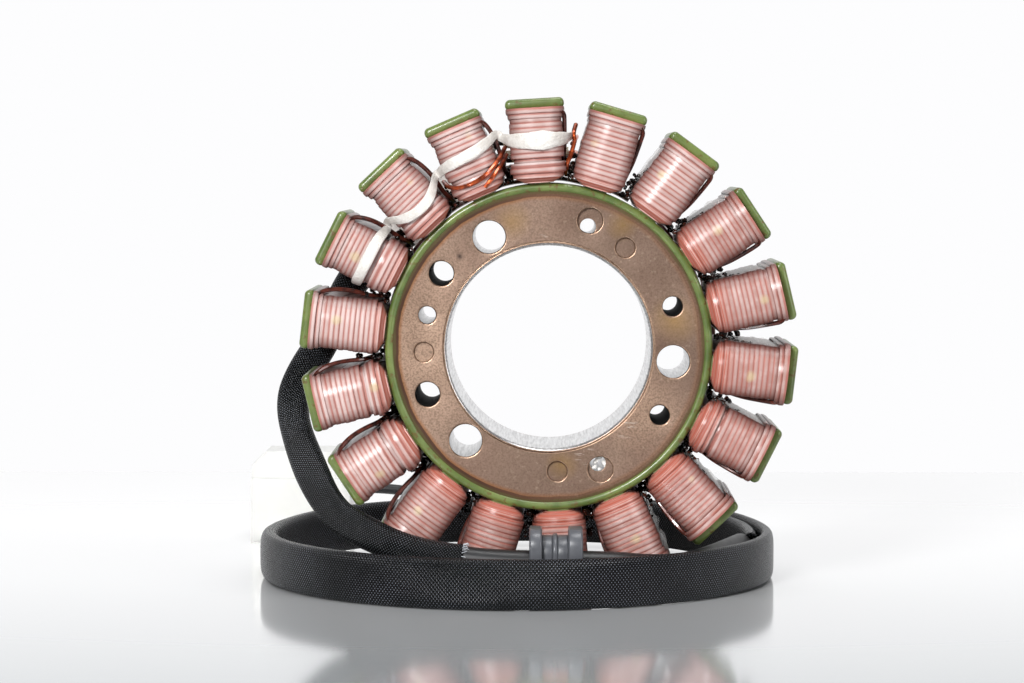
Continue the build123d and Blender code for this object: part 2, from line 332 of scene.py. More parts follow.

# %% [markdown]
# ## Woven sleeve finish
#
# The harness sleeves are braided from black acrylic-coated glass yarn: matt valleys, and a small
# glint where each strand comes over the top. The braid is too fine to model strand by strand, so
# the section is modelled, and the strands are drawn by two crossed sine waves in millimetres along
# and round the sleeve. Where the two waves add up, a strand lies on top and catches the light, so a
# painted highlight in the glint colour is laid on there, in noise patches. Such tops come out
# staggered, as they are in a braid. Real strands of such sleeves are 0.5 mm wide or less. They are
# drawn at 0.7 and 0.78 mm, as coarse as they need to be to show at this distance.

# %% Woven sleeve finish
def woven_sleeve(name, strand_mm, dark, glint, slant, relief_mm):
    """Black braided glass sleeve: crossed strands from the length and girth of each corner."""
    material, tree, place = start_material(name)
    girth = add_node(tree, "UVMap", uv_map="mm").outputs["UV"]
    along, around, _ = add_node(tree, "SeparateXYZ", {0: girth}).outputs
    waves = []
    for sign in (1, -1):
        across = {0: around, 1: sign * slant, 2: along}
        strand = add_node(tree, "Math", across, operation="MULTIPLY_ADD")
        turns = {0: strand, 1: 2 * math.pi / strand_mm}
        turned = add_node(tree, "Math", turns, operation="MULTIPLY")
        waves.append(add_node(tree, "Math", {0: turned}, operation="SINE"))
    weave = add_node(tree, "Math", {0: waves[0], 1: waves[1]}, operation="ADD")
    patch = add_node(tree, "TexNoise", {"Vector": place, "Scale": per(14), "Detail": 4.0})
    # Painted highlight: the tops of the strands take the glint colour, in noise patches
    lit = add_node(tree, "MapRange", {"Value": weave, "From Min": 1.2, "From Max": 1.95})
    glint_patches = add_node(tree, "MapRange", {"Value": patch, "From Min": 0.38, "From Max": 0.62, "To Min": 0.3})
    seen = add_node(tree, "Math", {0: lit, 1: glint_patches}, operation="MULTIPLY")
    shade = stained(tree, dark, [(seen, 0.0, 1.0, 1.0, glint)])
    bump = add_node(tree, "Bump", {"Height": weave, "Strength": 0.9, "Distance": relief_mm * MM})
    inputs = {"Base Color": shade, "Roughness": 0.25, "IOR": 1.27, "Normal": bump}
    return end_material(material, inputs)


upper_weave = woven_sleeve("acrylic_glass_sleeve_fine", 0.7, "#030404", "#7d818b", 0.8, 0.06)
lower_weave = woven_sleeve("acrylic_glass_sleeve", 0.78, "#040506", "#6f737d", 0.8, 0.045)


# %% [markdown]
# ## Flat sleeves
#
# A sleeve is a flattened tube. A bevelled curve could carry its section, but not make it wider and
# thinner on the way, so the rings are worked out here. The section is a superellipse, between an
# ellipse and a rectangle. At each end the wall turns inwards, so that the mouth is open. The length
# and girth in millimetres go into a UV map called mm, so that the weave keeps its size wherever the
# sleeve turns.

# %% Flat sleeves
SECTION_SIDES = 28
MOUTH_DEPTH = 3.0 * MM
MOUTH_STEPS = ((0.84, 0.0), (0.8, MOUTH_DEPTH))
MOUTH_WALL = 0.3 * MM


def flat_ring(point, along, across, width, thick, squareness, sides=SECTION_SIDES, dent=0.0):
    """One flattened section about a point of a line, with a hollow along its middle if wanted."""
    flat = (across - along * across.dot(along)).normalized()
    proud = along.cross(flat)
    ring = []
    for k in range(sides):
        angle = 2 * math.pi * k / sides
        c, s = math.cos(angle), math.sin(angle)
        u = math.copysign(abs(c) ** (2 / squareness), c) * width / 2
        v = math.copysign(abs(s) ** (2 / squareness), s) * thick / 2
        v *= 1 - dent * max(0.0, 1 - (2.4 * u / width) ** 2)
        ring.append(point + flat * u + proud * v)
    return ring


# %% Sleeve mesh
FOLD_ANGLE = math.radians(60)


def sleeve_mesh(name, line, width_axes, widths, thicknesses, dents, squareness):
    """A flattened tube along a line, with open mouths and its weave map."""
    ways = headings(line)
    rows = zip(line, ways, width_axes, widths, thicknesses, dents)
    rings = [flat_ring(*row, squareness, dent=dent) for *row, dent in rows]
    for end, way in ((0, 1), (-1, -1)):
        for shrink, depth in MOUTH_STEPS:
            inner = line[end] + ways[end] * way * depth
            size = (widths[end] * shrink, thicknesses[end] * shrink - MOUTH_WALL)
            ring = flat_ring(inner, ways[end], width_axes[end], *size, squareness, dent=dents[end])
            rings = [ring] + rings if end == 0 else rings + [ring]
    points, faces = skin(rings)
    mesh = bpy.data.meshes.new(name)
    mesh.from_pydata(points, [], faces)
    spacing = line_length(line) / (len(line) - 1) / MM
    section = rings[len(rings) // 2]
    girths = [0.0]
    for before, after in zip(section, section[1:] + section[:1]):
        girths.append(girths[-1] + (after - before).length / MM)
    layer = mesh.uv_layers.new(name="mm")
    for polygon in mesh.polygons[: (len(rings) - 1) * SECTION_SIDES]:
        row, side = divmod(polygon.index, SECTION_SIDES)
        corners = [(row, side), (row, side + 1), (row + 1, side + 1), (row + 1, side)]
        for loop, (i, k) in zip(polygon.loop_indices, corners):
            layer.data[loop].uv = (i * spacing, girths[k])
    mesh.shade_smooth()
    mesh.set_sharp_from_angle(angle=FOLD_ANGLE)
    return mesh


# %% [markdown]
# ## Upper sleeve
#
# The upper sleeve leaves the splices behind the top coils, comes down between two coils at the left
# and ends in front of the core, where the cable comes out of it. It is soft, so it sags into folds.
# Slow sine waves along its length widen, thin and dent the section, because no two folds should
# look the same, and a formula is easier to change than a row of sizes.

# %% Upper sleeve
UPPER_WIDTH = 7.6 * MM
UPPER_THICKNESS = 4.3 * MM
UPPER_STEP = 0.7 * MM
upper_line = spline_line(upper_sleeve_route(), UPPER_STEP)
back_axis = Vector((0, 1, 0))
upper_axes = [along.cross(back_axis).normalized() for along in headings(upper_line)]
shares = [i / (len(upper_line) - 1) for i in range(len(upper_line))]
upper_widths = [UPPER_WIDTH * (1 + 0.04 * math.sin(31 * s) - 0.2 * ease((s - 0.75) / 0.25)) for s in shares]
upper_thick = [UPPER_THICKNESS * (1 + 0.1 * math.sin(23 * s) + 0.15 * ease((s - 0.8) / 0.2)) for s in shares]
upper_dents = [0.32 + 0.2 * math.sin(19 * s) - 0.3 * ease((s - 0.8) / 0.2) for s in shares]
upper_sleeve = add_piece(
    "upper_sleeve_woven",
    sleeve_mesh("upper_sleeve_woven", upper_line, upper_axes, upper_widths, upper_thick, upper_dents, 2.2),
    [upper_weave],
    ["upper_sleeve"],
)
print(f"upper sleeve {line_length(upper_line) / MM:.0f} mm")

# %% [markdown]
# ## Lower sleeve
#
# The lower sleeve is wider, and it stands on its edge, wound once and a third round the foot of the
# stator: from its open mouth at the right, back round the left to the front, and on past its own
# start. The route could be a list of points too, but a formula keeps the lap even. Its radius grows
# along the way, so that the second lap lies outside the first. A limp sleeve doesn't lie quite flat
# either: its back rises a little from the table, and its left side puffs up where it bends freely.

# %% Lower sleeve
LOOP_CENTRE = Vector((-7.0, 17.1, 0.0)) * MM
LOOP_INNER = 53.7 * MM
LOOP_OUTER = 57.5 * MM
LOOP_START = -10.0
LOOP_SWEEP = 474.0
LOOP_HEIGHT = 11.1 * MM
LOOP_WALL = 3.5 * MM
LOOP_LIFT = 1.3 * MM
LOOP_PUFF = 0.3
GROWS_FROM = 112.0
GROWS_OVER = 75.0
POINTS_A_TURN = 24
LOOP_STEP = 1.1 * MM


def loop_route():
    """Points of the sleeve's spiral, which grows once the inner lap has passed the outer one's end."""
    count = round(POINTS_A_TURN * LOOP_SWEEP / 360)
    route = []
    for i in range(count + 1):
        turned = LOOP_SWEEP * i / count
        grown = ease((turned - GROWS_FROM) / GROWS_OVER)
        reach = (LOOP_INNER + (LOOP_OUTER - LOOP_INNER) * grown) / math.cos(math.pi / POINTS_A_TURN)
        angle = math.radians(LOOP_START + turned)
        lift = LOOP_LIFT * ease((math.sin(angle) - 0.1) / 0.7)
        place = Vector((math.cos(angle) * reach, math.sin(angle) * reach, LOOP_HEIGHT / 2 + lift))
        route.append(LOOP_CENTRE + place)
    return route


# %% Lower sleeve form
lower_line = spline_line(loop_route(), LOOP_STEP)
up_axes = [Vector((0, 0, 1))] * len(lower_line)
lower_shares = [i / (len(lower_line) - 1) for i in range(len(lower_line))]
lower_widths = [LOOP_HEIGHT * (0.99 - 0.01 * math.sin(21 * s)) for s in lower_shares]
puffs = [LOOP_PUFF * ease((LOOP_CENTRE.x - point.x) / LOOP_OUTER) for point in lower_line]
lower_thick = [LOOP_WALL * (1 + 0.03 * math.sin(37 * s) + puff) for s, puff in zip(lower_shares, puffs)]
lower_dents = [0.1 + 0.06 * math.sin(41 * s) for s in lower_shares]
lower_sleeve = add_piece(
    "lower_sleeve_woven",
    sleeve_mesh("lower_sleeve_woven", lower_line, up_axes, lower_widths, lower_thick, lower_dents, 3.0),
    [lower_weave],
    ["lower_sleeve"],
)
print(f"lower sleeve {line_length(lower_line) / MM:.0f} mm")

# %% [markdown]
# ## Frayed ends
#
# Braided glass frays as soon as it is cut. The bare glass is pale where its black coating broke.
# Hair could show it, but a few dozen tapered bristles round each mouth are enough here, and a mesh
# is exported as it is.

# %% Bristles
FRAY_WIDTHS = (0.2, 0.16, 0.06)
TABLE_GAP = 0.4 * MM


def fray(line, end, across, width, thick, count, length_mm, draw):
    """Loose yarn ends round the mouth of a sleeve, as thin tapered bristles."""
    ways = headings(line)
    outward = ways[end] * (-1 if end == 0 else 1)
    rim = flat_ring(line[end], ways[end], across, width, thick, 2.6, count)
    parts = []
    for root in rim:
        away = (root - line[end]).normalized()
        bend = Vector((draw.gauss(0, 0.3), draw.gauss(0, 0.3), draw.gauss(0, 0.3)))
        tip = root + (outward + away * draw.uniform(0.1, 0.5) + bend) * length_mm * MM * draw.uniform(0.4, 1)
        middle = root.lerp(tip, 0.5) + away * 0.15 * MM
        tip.z = max(tip.z, TABLE_GAP)
        middle.z = max(middle.z, TABLE_GAP)
        strand = [root - outward * 0.4 * MM, middle, tip]
        rings = [
            flat_ring(point, way, across, size * MM, size * MM, 2.0, 4)
            for point, way, size in zip(strand, headings(strand), FRAY_WIDTHS)
        ]
        parts.append(skin(rings))
    return parts


# %% Frayed ends
def plain_finish(name, base, rough, ior=1.5):
    """A small piece's finish, even but for a fine grain."""
    material, tree, place = start_material(name)
    fine = add_node(tree, "TexNoise", {"Vector": place, "Scale": per(0.6), "Detail": 3.0})
    uneven = add_node(tree, "MapRange", {"Value": fine, "To Min": rough - 0.1, "To Max": rough + 0.1})
    return end_material(material, {"Base Color": colour(base), "Roughness": uneven, "IOR": ior})


draw = random.Random(7)
pale_yarn = plain_finish("broken_glass_yarn", "#b9bcc2", 0.5)
dark_yarn = plain_finish("coated_glass_yarn", "#26282d", 0.5)
pale_parts = fray(upper_line, -1, upper_axes[-1], upper_widths[-1], upper_thick[-1], 26, 1.3, draw)
add_piece("upper_sleeve_fray", mesh_from("upper_sleeve_fray", pale_parts), [pale_yarn])
dark_parts = fray(lower_line, 0, up_axes[0], lower_widths[0] * 0.95, lower_thick[0], 60, 2.2, draw)
add_piece("lower_sleeve_fray", mesh_from("lower_sleeve_fray", dark_parts), [dark_yarn])

# %% [markdown]
# ## Cable and plug lead
#
# Between the sleeves a plain round cable shows, black plasticised PVC drawn smooth through a die,
# so it has a satin skin and one long soft highlight. The lead to the plug is the same. A round cord
# keeps its section all along, so here a bevelled spline does what the sleeves needed rings for.

# %% Cable finish
def satin_rubber(name, base, rough):
    """Extruded PVC or moulded rubber: an even satin skin, slightly scuffed."""
    material, tree, place = start_material(name)
    scuff = add_node(tree, "TexNoise", {"Vector": place, "Scale": per(1.5), "Detail": 4.0})
    uneven = add_node(tree, "MapRange", {"Value": scuff, "To Min": rough - 0.08, "To Max": rough + 0.1})
    bump = add_node(tree, "Bump", {"Height": scuff, "Strength": 0.2, "Distance": 0.06 * MM})
    inputs = {"Base Color": colour(base), "Roughness": uneven, "IOR": 1.5, "Normal": bump}
    return end_material(material, inputs)


black_pvc = satin_rubber("black_pvc", "#121316", 0.4)


def add_cord(name, route, diameter, stands_for):
    """A round cord as one bevelled spline, whose real length is printed."""
    curve = spline_curve(name, route)
    curve.bevel_depth = diameter / 2
    curve.bevel_resolution = 6
    curve.use_fill_caps = True
    cord = bpy.data.objects.new(name, curve)
    bpy.context.scene.collection.objects.link(cord)
    curve.materials.append(black_pvc)
    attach(cord, "root")
    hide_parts(*stands_for)
    length = line_length(spline_line(route, MM))
    print(f"{name}: {length / MM:.0f} mm")
    return cord


# %% [markdown]
# ## Grommet
#
# Where the harness passes the engine's case, an oblong block of grey nitrile rubber closes the slot.
# It is moulded with two flanges, two grooves and a rib between them. All its edges are rounded, so
# one rounded outline is carried along the cable and drawn in and out by a list of steps.

# %% Grommet
# Flange, groove, rib, groove and flange in millimetres: (length, how far drawn in, edge radius)
GROMMET_STEPS = [(2.8, 0.0, 0.5), (2.2, 1.75, 0.2), (1.2, 1.45, 0.45), (2.2, 1.75, 0.2), (3.2, 0.0, 0.5)]
GROMMET_CORNER = 4.0 * MM
GROMMET_SWELL = 0.42 * MM
# A rounded edge, as shares of its radius: (way along the step, way down from its top)
SOFT_EDGE = [(0.0, 1.0), (0.08, 0.6), (0.3, 0.28), (0.62, 0.08), (1.0, 0.0)]
grommet_low, grommet_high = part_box("lead_grommet")


def oblong(half_width, half_height, corner, count=48):
    """A rounded rectangle about the origin, as pairs."""
    corner = min(corner, half_width - 1e-6, half_height - 1e-6)
    points = []
    for quarter, (sx, sy) in enumerate(((1, 1), (-1, 1), (-1, -1), (1, -1))):
        for k in range(count // 4):
            angle = math.pi / 2 * (quarter + k / (count // 4 - 1))
            x = sx * (half_width - corner) + corner * math.cos(angle)
            y = sy * (half_height - corner) + corner * math.sin(angle)
            points.append((x, y))
    return points


def grommet_mesh():
    """The grommet's stepped, rounded body."""
    middle = (grommet_low + grommet_high) / 2
    half_depth = (grommet_high.y - grommet_low.y) / 2
    half_height = (grommet_high.z - grommet_low.z) / 2 + GROMMET_SWELL
    middle.z += GROMMET_SWELL
    profile, x = [], 0.0
    for step, inset, edge in GROMMET_STEPS:
        for near, drop in SOFT_EDGE:
            profile.append((x + edge * near, inset + edge * drop))
        for near, drop in reversed(SOFT_EDGE):
            profile.append((x + step - edge * near, inset + edge * drop))
        x += step
    rings = []
    for x, inset in profile:
        outline = oblong(half_depth - inset * MM, half_height - inset * MM, GROMMET_CORNER)
        rings.append([Vector((grommet_low.x + x * MM, middle.y + u, middle.z + v)) for u, v in outline])
    return mesh_from("grommet", [skin(rings)])


grey_nitrile = satin_rubber("grey_nitrile_rubber", "#525459", 0.33)
grommet = add_piece("grommet_moulded", grommet_mesh(), [grey_nitrile], ["lead_grommet"])

# %% Cable between the sleeves
CABLE_DIAMETER = 5.2 * MM
cable_route = in_metres(LEAD_CABLE_ROUTE)
add_cord(
    "lead_cable_round", cable_route, CABLE_DIAMETER, ["lead_cable"]
)

# %% [markdown]
# ## Plug
#
# The plug is moulded in natural nylon, a milky white plastic that lets some light through. The CAD
# housing has the right form already, so it stays, with a small bevel on its edges, because no moulded
# edge is sharp.

# %% Plug finish
def natural_nylon():
    """Unfilled nylon 6: milky, slightly translucent, satin."""
    material, tree, place = start_material("natural_nylon")
    cloud = add_node(tree, "TexNoise", {"Vector": place, "Scale": per(6), "Detail": 2.0})
    inputs = {
        "Base Color": stained(tree, "#f3f4ee", [(cloud, 0.0, 1.0, 1.0, "#fcfcf9")]),
        "Roughness": 0.38,
        "IOR": 1.53,
        "Subsurface Weight": 0.5,
        "Subsurface Radius": (0.004, 0.004, 0.004),
        "Subsurface Scale": 1.0,
        "Transmission Weight": 0.3,
    }
    return end_material(material, inputs)


def tinned_brass():
    """Stamped brass with a thin tin plating."""
    material, tree, place = start_material("tinned_brass")
    fine = add_node(tree, "TexNoise", {"Vector": place, "Scale": per(0.4), "Detail": 3.0})
    rough = add_node(tree, "MapRange", {"Value": fine, "To Min": 0.22, "To Max": 0.4})
    return end_material(material, {"Base Color": colour("#cfc7ae"), "Metallic": 1.0, "Roughness": rough})


def dress_node(node, finish, bevel_mm):
    """Gives a CAD node that keeps its form its finish and rounded edges."""
    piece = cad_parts[node]
    piece.data.materials.clear()
    piece.data.materials.append(finish)
    bevel = piece.modifiers.new("edges", "BEVEL")
    bevel.width = bevel_mm * MM
    bevel.segments = 3
    bevel.harden_normals = True
    print(f"{node}: {bevel_mm} mm bevels")
    return piece


plug_housing = dress_node("plug_housing", natural_nylon(), 0.6)
plug_terminals = dress_node("plug_terminals", tinned_brass(), 0.15)

# %% [markdown]
# ## Plug lead
#
# A thin lead joins the loop to the plug. It leaves the sleeve's end at the back, rises and turns to
# the left, into the housing. It is the same PVC as the cable, so it is one more bevelled spline.

# %% Plug lead
PLUG_LEAD_DIAMETER = 2.6 * MM
PLUG_LEAD_ROUTE = [(-16.16, 74.95, 5.55), (-17.9, 85.8, 5.55), (-33.0, 90.0, 12.6), (-50.0, 90.0, 12.6)]
add_cord(
    "plug_lead_round",
    in_metres(PLUG_LEAD_ROUTE),
    PLUG_LEAD_DIAMETER,
    ["plug_lead"],
)

# %% [markdown]
# ## Core
#
# The core is a stack of stamped electrical steel. Its ring is bare and has turned a satin bronze
# brown with age. Its poles and rim wear a coat of green epoxy powder, melted on, so it flows round
# every edge like enamel. The steel ring comes first: two flat faces filled between their rims, and
# a rounded lip round every hole. The bore's lip is rolled up a little by the punch.

# %% Core sizes
# Holes are (diameter in millimetres, distance from the axis in millimetres, angle in degrees)
BARE_RADIUS = 34.2 * MM
YOKE_RADIUS = 36.1 * MM
BARE_DROP = 0.4 * MM
BORE_RADIUS = 22.4 * MM
HOLE_LIP = 0.4 * MM
POLE_COUNT = 18
TOP_POLE_ANGLE = 93.4
bare_front = front_y + BARE_DROP
bare_back = back_y - BARE_DROP
BRIGHT_HOLES = [(7.2, 27.6, 118.4), (7.2, 27.6, 228.4), (7.2, 27.6, 353.4), (3.8, 27.7, 165.2)]
DARK_HOLES = [(5.4, 28.7, 145.5), (5.4, 28.7, 201.3), (4.3, 28.7, 18.3), (4.3, 28.7, -31.5)]
DIMPLES = [(4.3, 27.6, 52.5), (4.3, 27.6, 182.3), (4.3, 27.6, -86.1)]
DIMPLE_DEPTH = 0.75 * MM
EYELETS = [(5.5, 29.3, 72.0), (5.5, 29.3, -67.1)]
EYELET_DEPTH = 1.0 * MM
PILOT_DIAMETER = 3.5 * MM
PILOT_SHIFT = 1.35 * MM
print(f"{len(BRIGHT_HOLES + DARK_HOLES)} through holes, {len(DIMPLES + EYELETS)} recesses")

# %% Steel ring
# Finishes of the ring's mesh by number. Its flat faces have number 0, the oxidised steel.
BORE_STEEL, SHADED_HOLE_WALL, EDGE_STEEL = 1, 2, 3
RIM_POINTS, BORE_POINTS, HOLE_POINTS, PILOT_POINTS = 180, 144, 40, 32
UNDER_COAT = 0.3 * MM
# The bore's rolled ledge in millimetres: (growth of its radius, depth below the face). The first two
# rows are level with the face, so that the ledge doesn't tilt the face's shading.
ROLLED_LEDGE = [
    (1.15, 0.0), (1.08, 0.0), (1.0, 0.06), (0.92, 0.03), (0.83, -0.08), (0.7, -0.14), (0.54, -0.1),
    (0.4, 0.02), (0.22, 0.22), (0.08, 0.5), (0.0, 0.9), (0.0, 1.2),
]


def circle_ring(work, centre, radius, y, count):
    """A ring of vertices in a plane across the bore axis."""
    ring = []
    for k in range(count):
        angle = 2 * math.pi * k / count
        x, z = centre[0] + radius * math.cos(angle), centre[1] + radius * math.sin(angle)
        ring.append(work.verts.new((x, y, z)))
    return ring


def join_rings(work, first, second, material):
    """Faces between two rings of as many vertices."""
    for k in range(len(first)):
        turn = (k + 1) % len(first)
        face = work.faces.new((first[k], first[turn], second[turn], second[k]))
        face.material_index = material


def wall(work, centre, radius, rows, count, material, lip_rows=0):
    """A wall turned from rows of (growth of the radius, place along Y), with burnished lips at its ends."""
    rings = [circle_ring(work, centre, radius + grow, y, count) for grow, y in rows]
    for i, (first, second) in enumerate(zip(rings, rings[1:])):
        inner = lip_rows <= i < len(rings) - 1 - lip_rows
        join_rings(work, first, second, material if inner else EDGE_STEEL)
    return rings[0], rings[-1]


def lip(size, y, way):
    """Rows of a quarter-round lip from a flat face at y, and a last one that keeps the wall flat."""
    angles = [math.pi / 2 * k / 5 for k in range(6)]
    rows = [(size * (1 - math.sin(a)), y + way * size * (1 - math.cos(a))) for a in angles]
    return rows + [(0.0, y + way * (size + 0.25 * MM))]


# %% Holes and faces of the ring
def fill_flat(work, rings):
    """Fills the flat face that several rings in one plane enclose."""
    edges = []
    for ring in rings:
        for k in range(len(ring)):
            pair = (ring[k], ring[(k + 1) % len(ring)])
            edges.append(work.edges.get(pair) or work.edges.new(pair))
    bmesh.ops.triangle_fill(work, use_beauty=True, edges=edges)


def through_hole(work, hole, finish):
    """A lipped hole through the stack: its rings in the front and back faces."""
    diameter, reach, angle = hole
    rows = lip(HOLE_LIP, bare_front, 1) + lip(HOLE_LIP, bare_back, -1)[::-1]
    return wall(work, polar(reach * MM, angle), diameter * MM / 2, rows, HOLE_POINTS, finish, 4)


def recess(work, hole, lip_size, floor_y, taper=0.0):
    """A lipped recess in the face: its rings in the face and round its floor."""
    diameter, reach, angle = hole
    rows = lip(lip_size, bare_front, 1) + [(-taper, floor_y)]
    return wall(work, polar(reach * MM, angle), diameter * MM / 2, rows, HOLE_POINTS, EDGE_STEEL)


def pilot_hole(work, eyelet, floor_y):
    """The smaller hole in an eyelet's floor: its rings in the floor and in the back face."""
    _, reach, angle = eyelet
    rows = lip(0.15 * MM, floor_y, 1) + lip(0.15 * MM, bare_back, -1)[::-1]
    middle = polar(reach * MM - PILOT_SHIFT, angle)
    return wall(work, middle, PILOT_DIAMETER / 2, rows, PILOT_POINTS, BORE_STEEL, 3)


# %% Steel ring mesh
STEEL_ANGLE = math.radians(50)


def steel_ring_mesh():
    """The bare ring with its bore, through holes, dimples and eyelets."""
    work = bmesh.new()
    centre = (axis_point.x, axis_point.z)
    fronts = [circle_ring(work, centre, BARE_RADIUS + UNDER_COAT, bare_front, RIM_POINTS)]
    backs = [circle_ring(work, centre, BARE_RADIUS + UNDER_COAT, bare_back, RIM_POINTS)]
    rows = [(grow * MM, bare_front + depth * MM) for grow, depth in ROLLED_LEDGE]
    rows += reversed(lip(0.5 * MM, bare_back, -1))
    through = [wall(work, centre, BORE_RADIUS, rows, BORE_POINTS, BORE_STEEL, 6)]
    through += [through_hole(work, hole, BORE_STEEL) for hole in BRIGHT_HOLES]
    through += [through_hole(work, hole, SHADED_HOLE_WALL) for hole in DARK_HOLES]
    fronts += [first for first, last in through]
    backs += [last for first, last in through]
    for dimple in DIMPLES:
        first, last = recess(work, dimple, 0.32 * MM, bare_front + DIMPLE_DEPTH, 0.05 * MM)
        fronts.append(first)
        fill_flat(work, [last])
    for eyelet in EYELETS:
        first, last = recess(work, eyelet, 0.34 * MM, bare_front + EYELET_DEPTH)
        fronts.append(first)
        near, far = pilot_hole(work, eyelet, bare_front + EYELET_DEPTH)
        fill_flat(work, [last, near])
        backs.append(far)
    fill_flat(work, fronts)
    fill_flat(work, backs)
    bmesh.ops.recalc_face_normals(work, faces=work.faces)
    mesh = bpy.data.meshes.new("steel_ring")
    work.to_mesh(mesh)
    work.free()
    mesh.shade_smooth()
    mesh.set_sharp_from_angle(angle=STEEL_ANGLE)
    return mesh


# %% [markdown]
# ## Steel finishes
#
# The clamping face was stamped, then baked with the varnish, and has a thin brown oxide: half metal,
# half stain, with a fine grain, a few ochre blots where varnish dried, one dark spot and some
# scratches by the bore. Towards the rim the varnish has crept in from the coat and baked to amber
# and dark brown. The bore was ground to size, so it stays bright, with fine lines along the axis.
# The rolled edges of the bore and holes are the same brown steel, burnished: smooth and shiny. The
# real grain is finer than 0.4 mm, and the lines in the bore finer than 0.45 mm. Both are drawn that
# coarse so that they show. Broad pale and dark areas of the face are painted light and painted shade,
# where the lamps fall unevenly on it, and the walls of the smaller holes are painted nearly black as
# the shade inside them. Stains and painted areas have places on the face, so they are laid on by
# distance from named spots, which needs no picture.

# %% Steel finishes
# Round areas of the face in millimetres: ((x, z) of the middle, radius)
OCHRE_BLOTS = [((27.6, 61.0), 6.0), ((-8.5, 83.0), 5.0), ((3.0, 29.0), 4.0), ((16.0, 82.0), 4.0)]
DARK_SPOT = [((-19.6, 75.0), 0.9)]
# The next two lists are painted light and painted shade: the face lighter and darker where the lamps fall
# unevenly
PAINTED_LIGHT_AREAS = [((-29.0, 56.0), 24.0), ((20.0, 42.0), 11.0)]
PAINTED_SHADE_AREAS = [((20.0, 80.0), 22.0), ((-2.0, 22.0), 24.0), ((33.0, 52.0), 14.0)]
SCRATCHES = [((0.0, 77.8), 3.0), ((8.0, 31.0), 2.6), ((17.0, 37.5), 3.0)]
# Rings of crept varnish: radius where none shows and where it is full, in millimetres, share, colour
CREPT_LEFT = [(32.3, 33.1, 0.75, "#84501f"), (33.1, 33.25, 0.9, "#331a0c")]
CREPT_ALL_ROUND = (33.65, 33.95, 0.7, "#4a421d")
CREPT_DRIFT = 0.2 * MM


def spots(tree, place, areas):
    """How deep a point lies in any of some round areas of the core's face, through the whole stack."""
    flat = add_node(tree, "VectorMath", {0: place, 1: (1.0, 0.0, 1.0)}, operation="MULTIPLY")
    deepest = 0.0
    for (x, z), radius in areas:
        middle = (x * MM, 0.0, z * MM)
        away = add_node(tree, "VectorMath", {0: flat, 1: middle}, operation="DISTANCE").outputs["Value"]
        inside = add_node(tree, "MapRange", {"Value": away, "From Min": radius * MM, "From Max": 0.0})
        deepest = add_node(tree, "Math", {0: deepest, 1: inside}, operation="MAXIMUM")
    return deepest


def scratched(tree, place):
    """Short bright strokes, all at one slant, in the scratched areas of the face."""
    turned = {"Vector": place, "Rotation": (0, 0.9, 0), "Scale": (0.25, 1.0, 1.6)}
    slanted = add_node(tree, "Mapping", turned)
    strokes = add_node(tree, "TexNoise", {"Vector": slanted, "Scale": per(0.8), "Detail": 2.0})
    clear = add_node(tree, "MapRange", {"Value": strokes, "From Min": 0.6, "From Max": 0.66})
    return add_node(tree, "Math", {0: spots(tree, place, SCRATCHES), 1: clear}, operation="MULTIPLY")


def crept_varnish(tree, place):
    """Stains of the varnish that crept in from the rim: amber, then dark, then olive by the coat."""
    flat = add_node(tree, "VectorMath", {0: place, 1: (1.0, 0.0, 1.0)}, operation="MULTIPLY")
    hub = (axis_point.x, 0.0, axis_point.z)
    reach = add_node(tree, "VectorMath", {0: flat, 1: hub}, operation="DISTANCE").outputs["Value"]
    drift = add_node(tree, "TexNoise", {"Vector": place, "Scale": per(7), "Detail": 3.0})
    bounds = {"Value": drift, "From Min": 0.3, "From Max": 0.7, "To Min": -CREPT_DRIFT, "To Max": CREPT_DRIFT}
    crept = add_node(tree, "Math", {0: reach, 1: add_node(tree, "MapRange", bounds)}, operation="ADD")
    aside = add_node(tree, "SeparateXYZ", {0: place})
    to_left = {"Value": aside, "From Min": 15 * MM, "From Max": -15 * MM, "To Min": 0.35}
    left = add_node(tree, "MapRange", to_left)
    stains = []
    for none_at, full_at, share, stain in CREPT_LEFT:
        ring = {"Value": crept, "From Min": none_at * MM, "From Max": full_at * MM}
        cover = {0: left, 1: add_node(tree, "MapRange", ring)}
        stains.append((add_node(tree, "Math", cover, operation="MULTIPLY"), 0.0, 1.0, share, stain))
    none_at, full_at, share, stain = CREPT_ALL_ROUND
    return stains + [(crept, none_at * MM, full_at * MM, share, stain)]


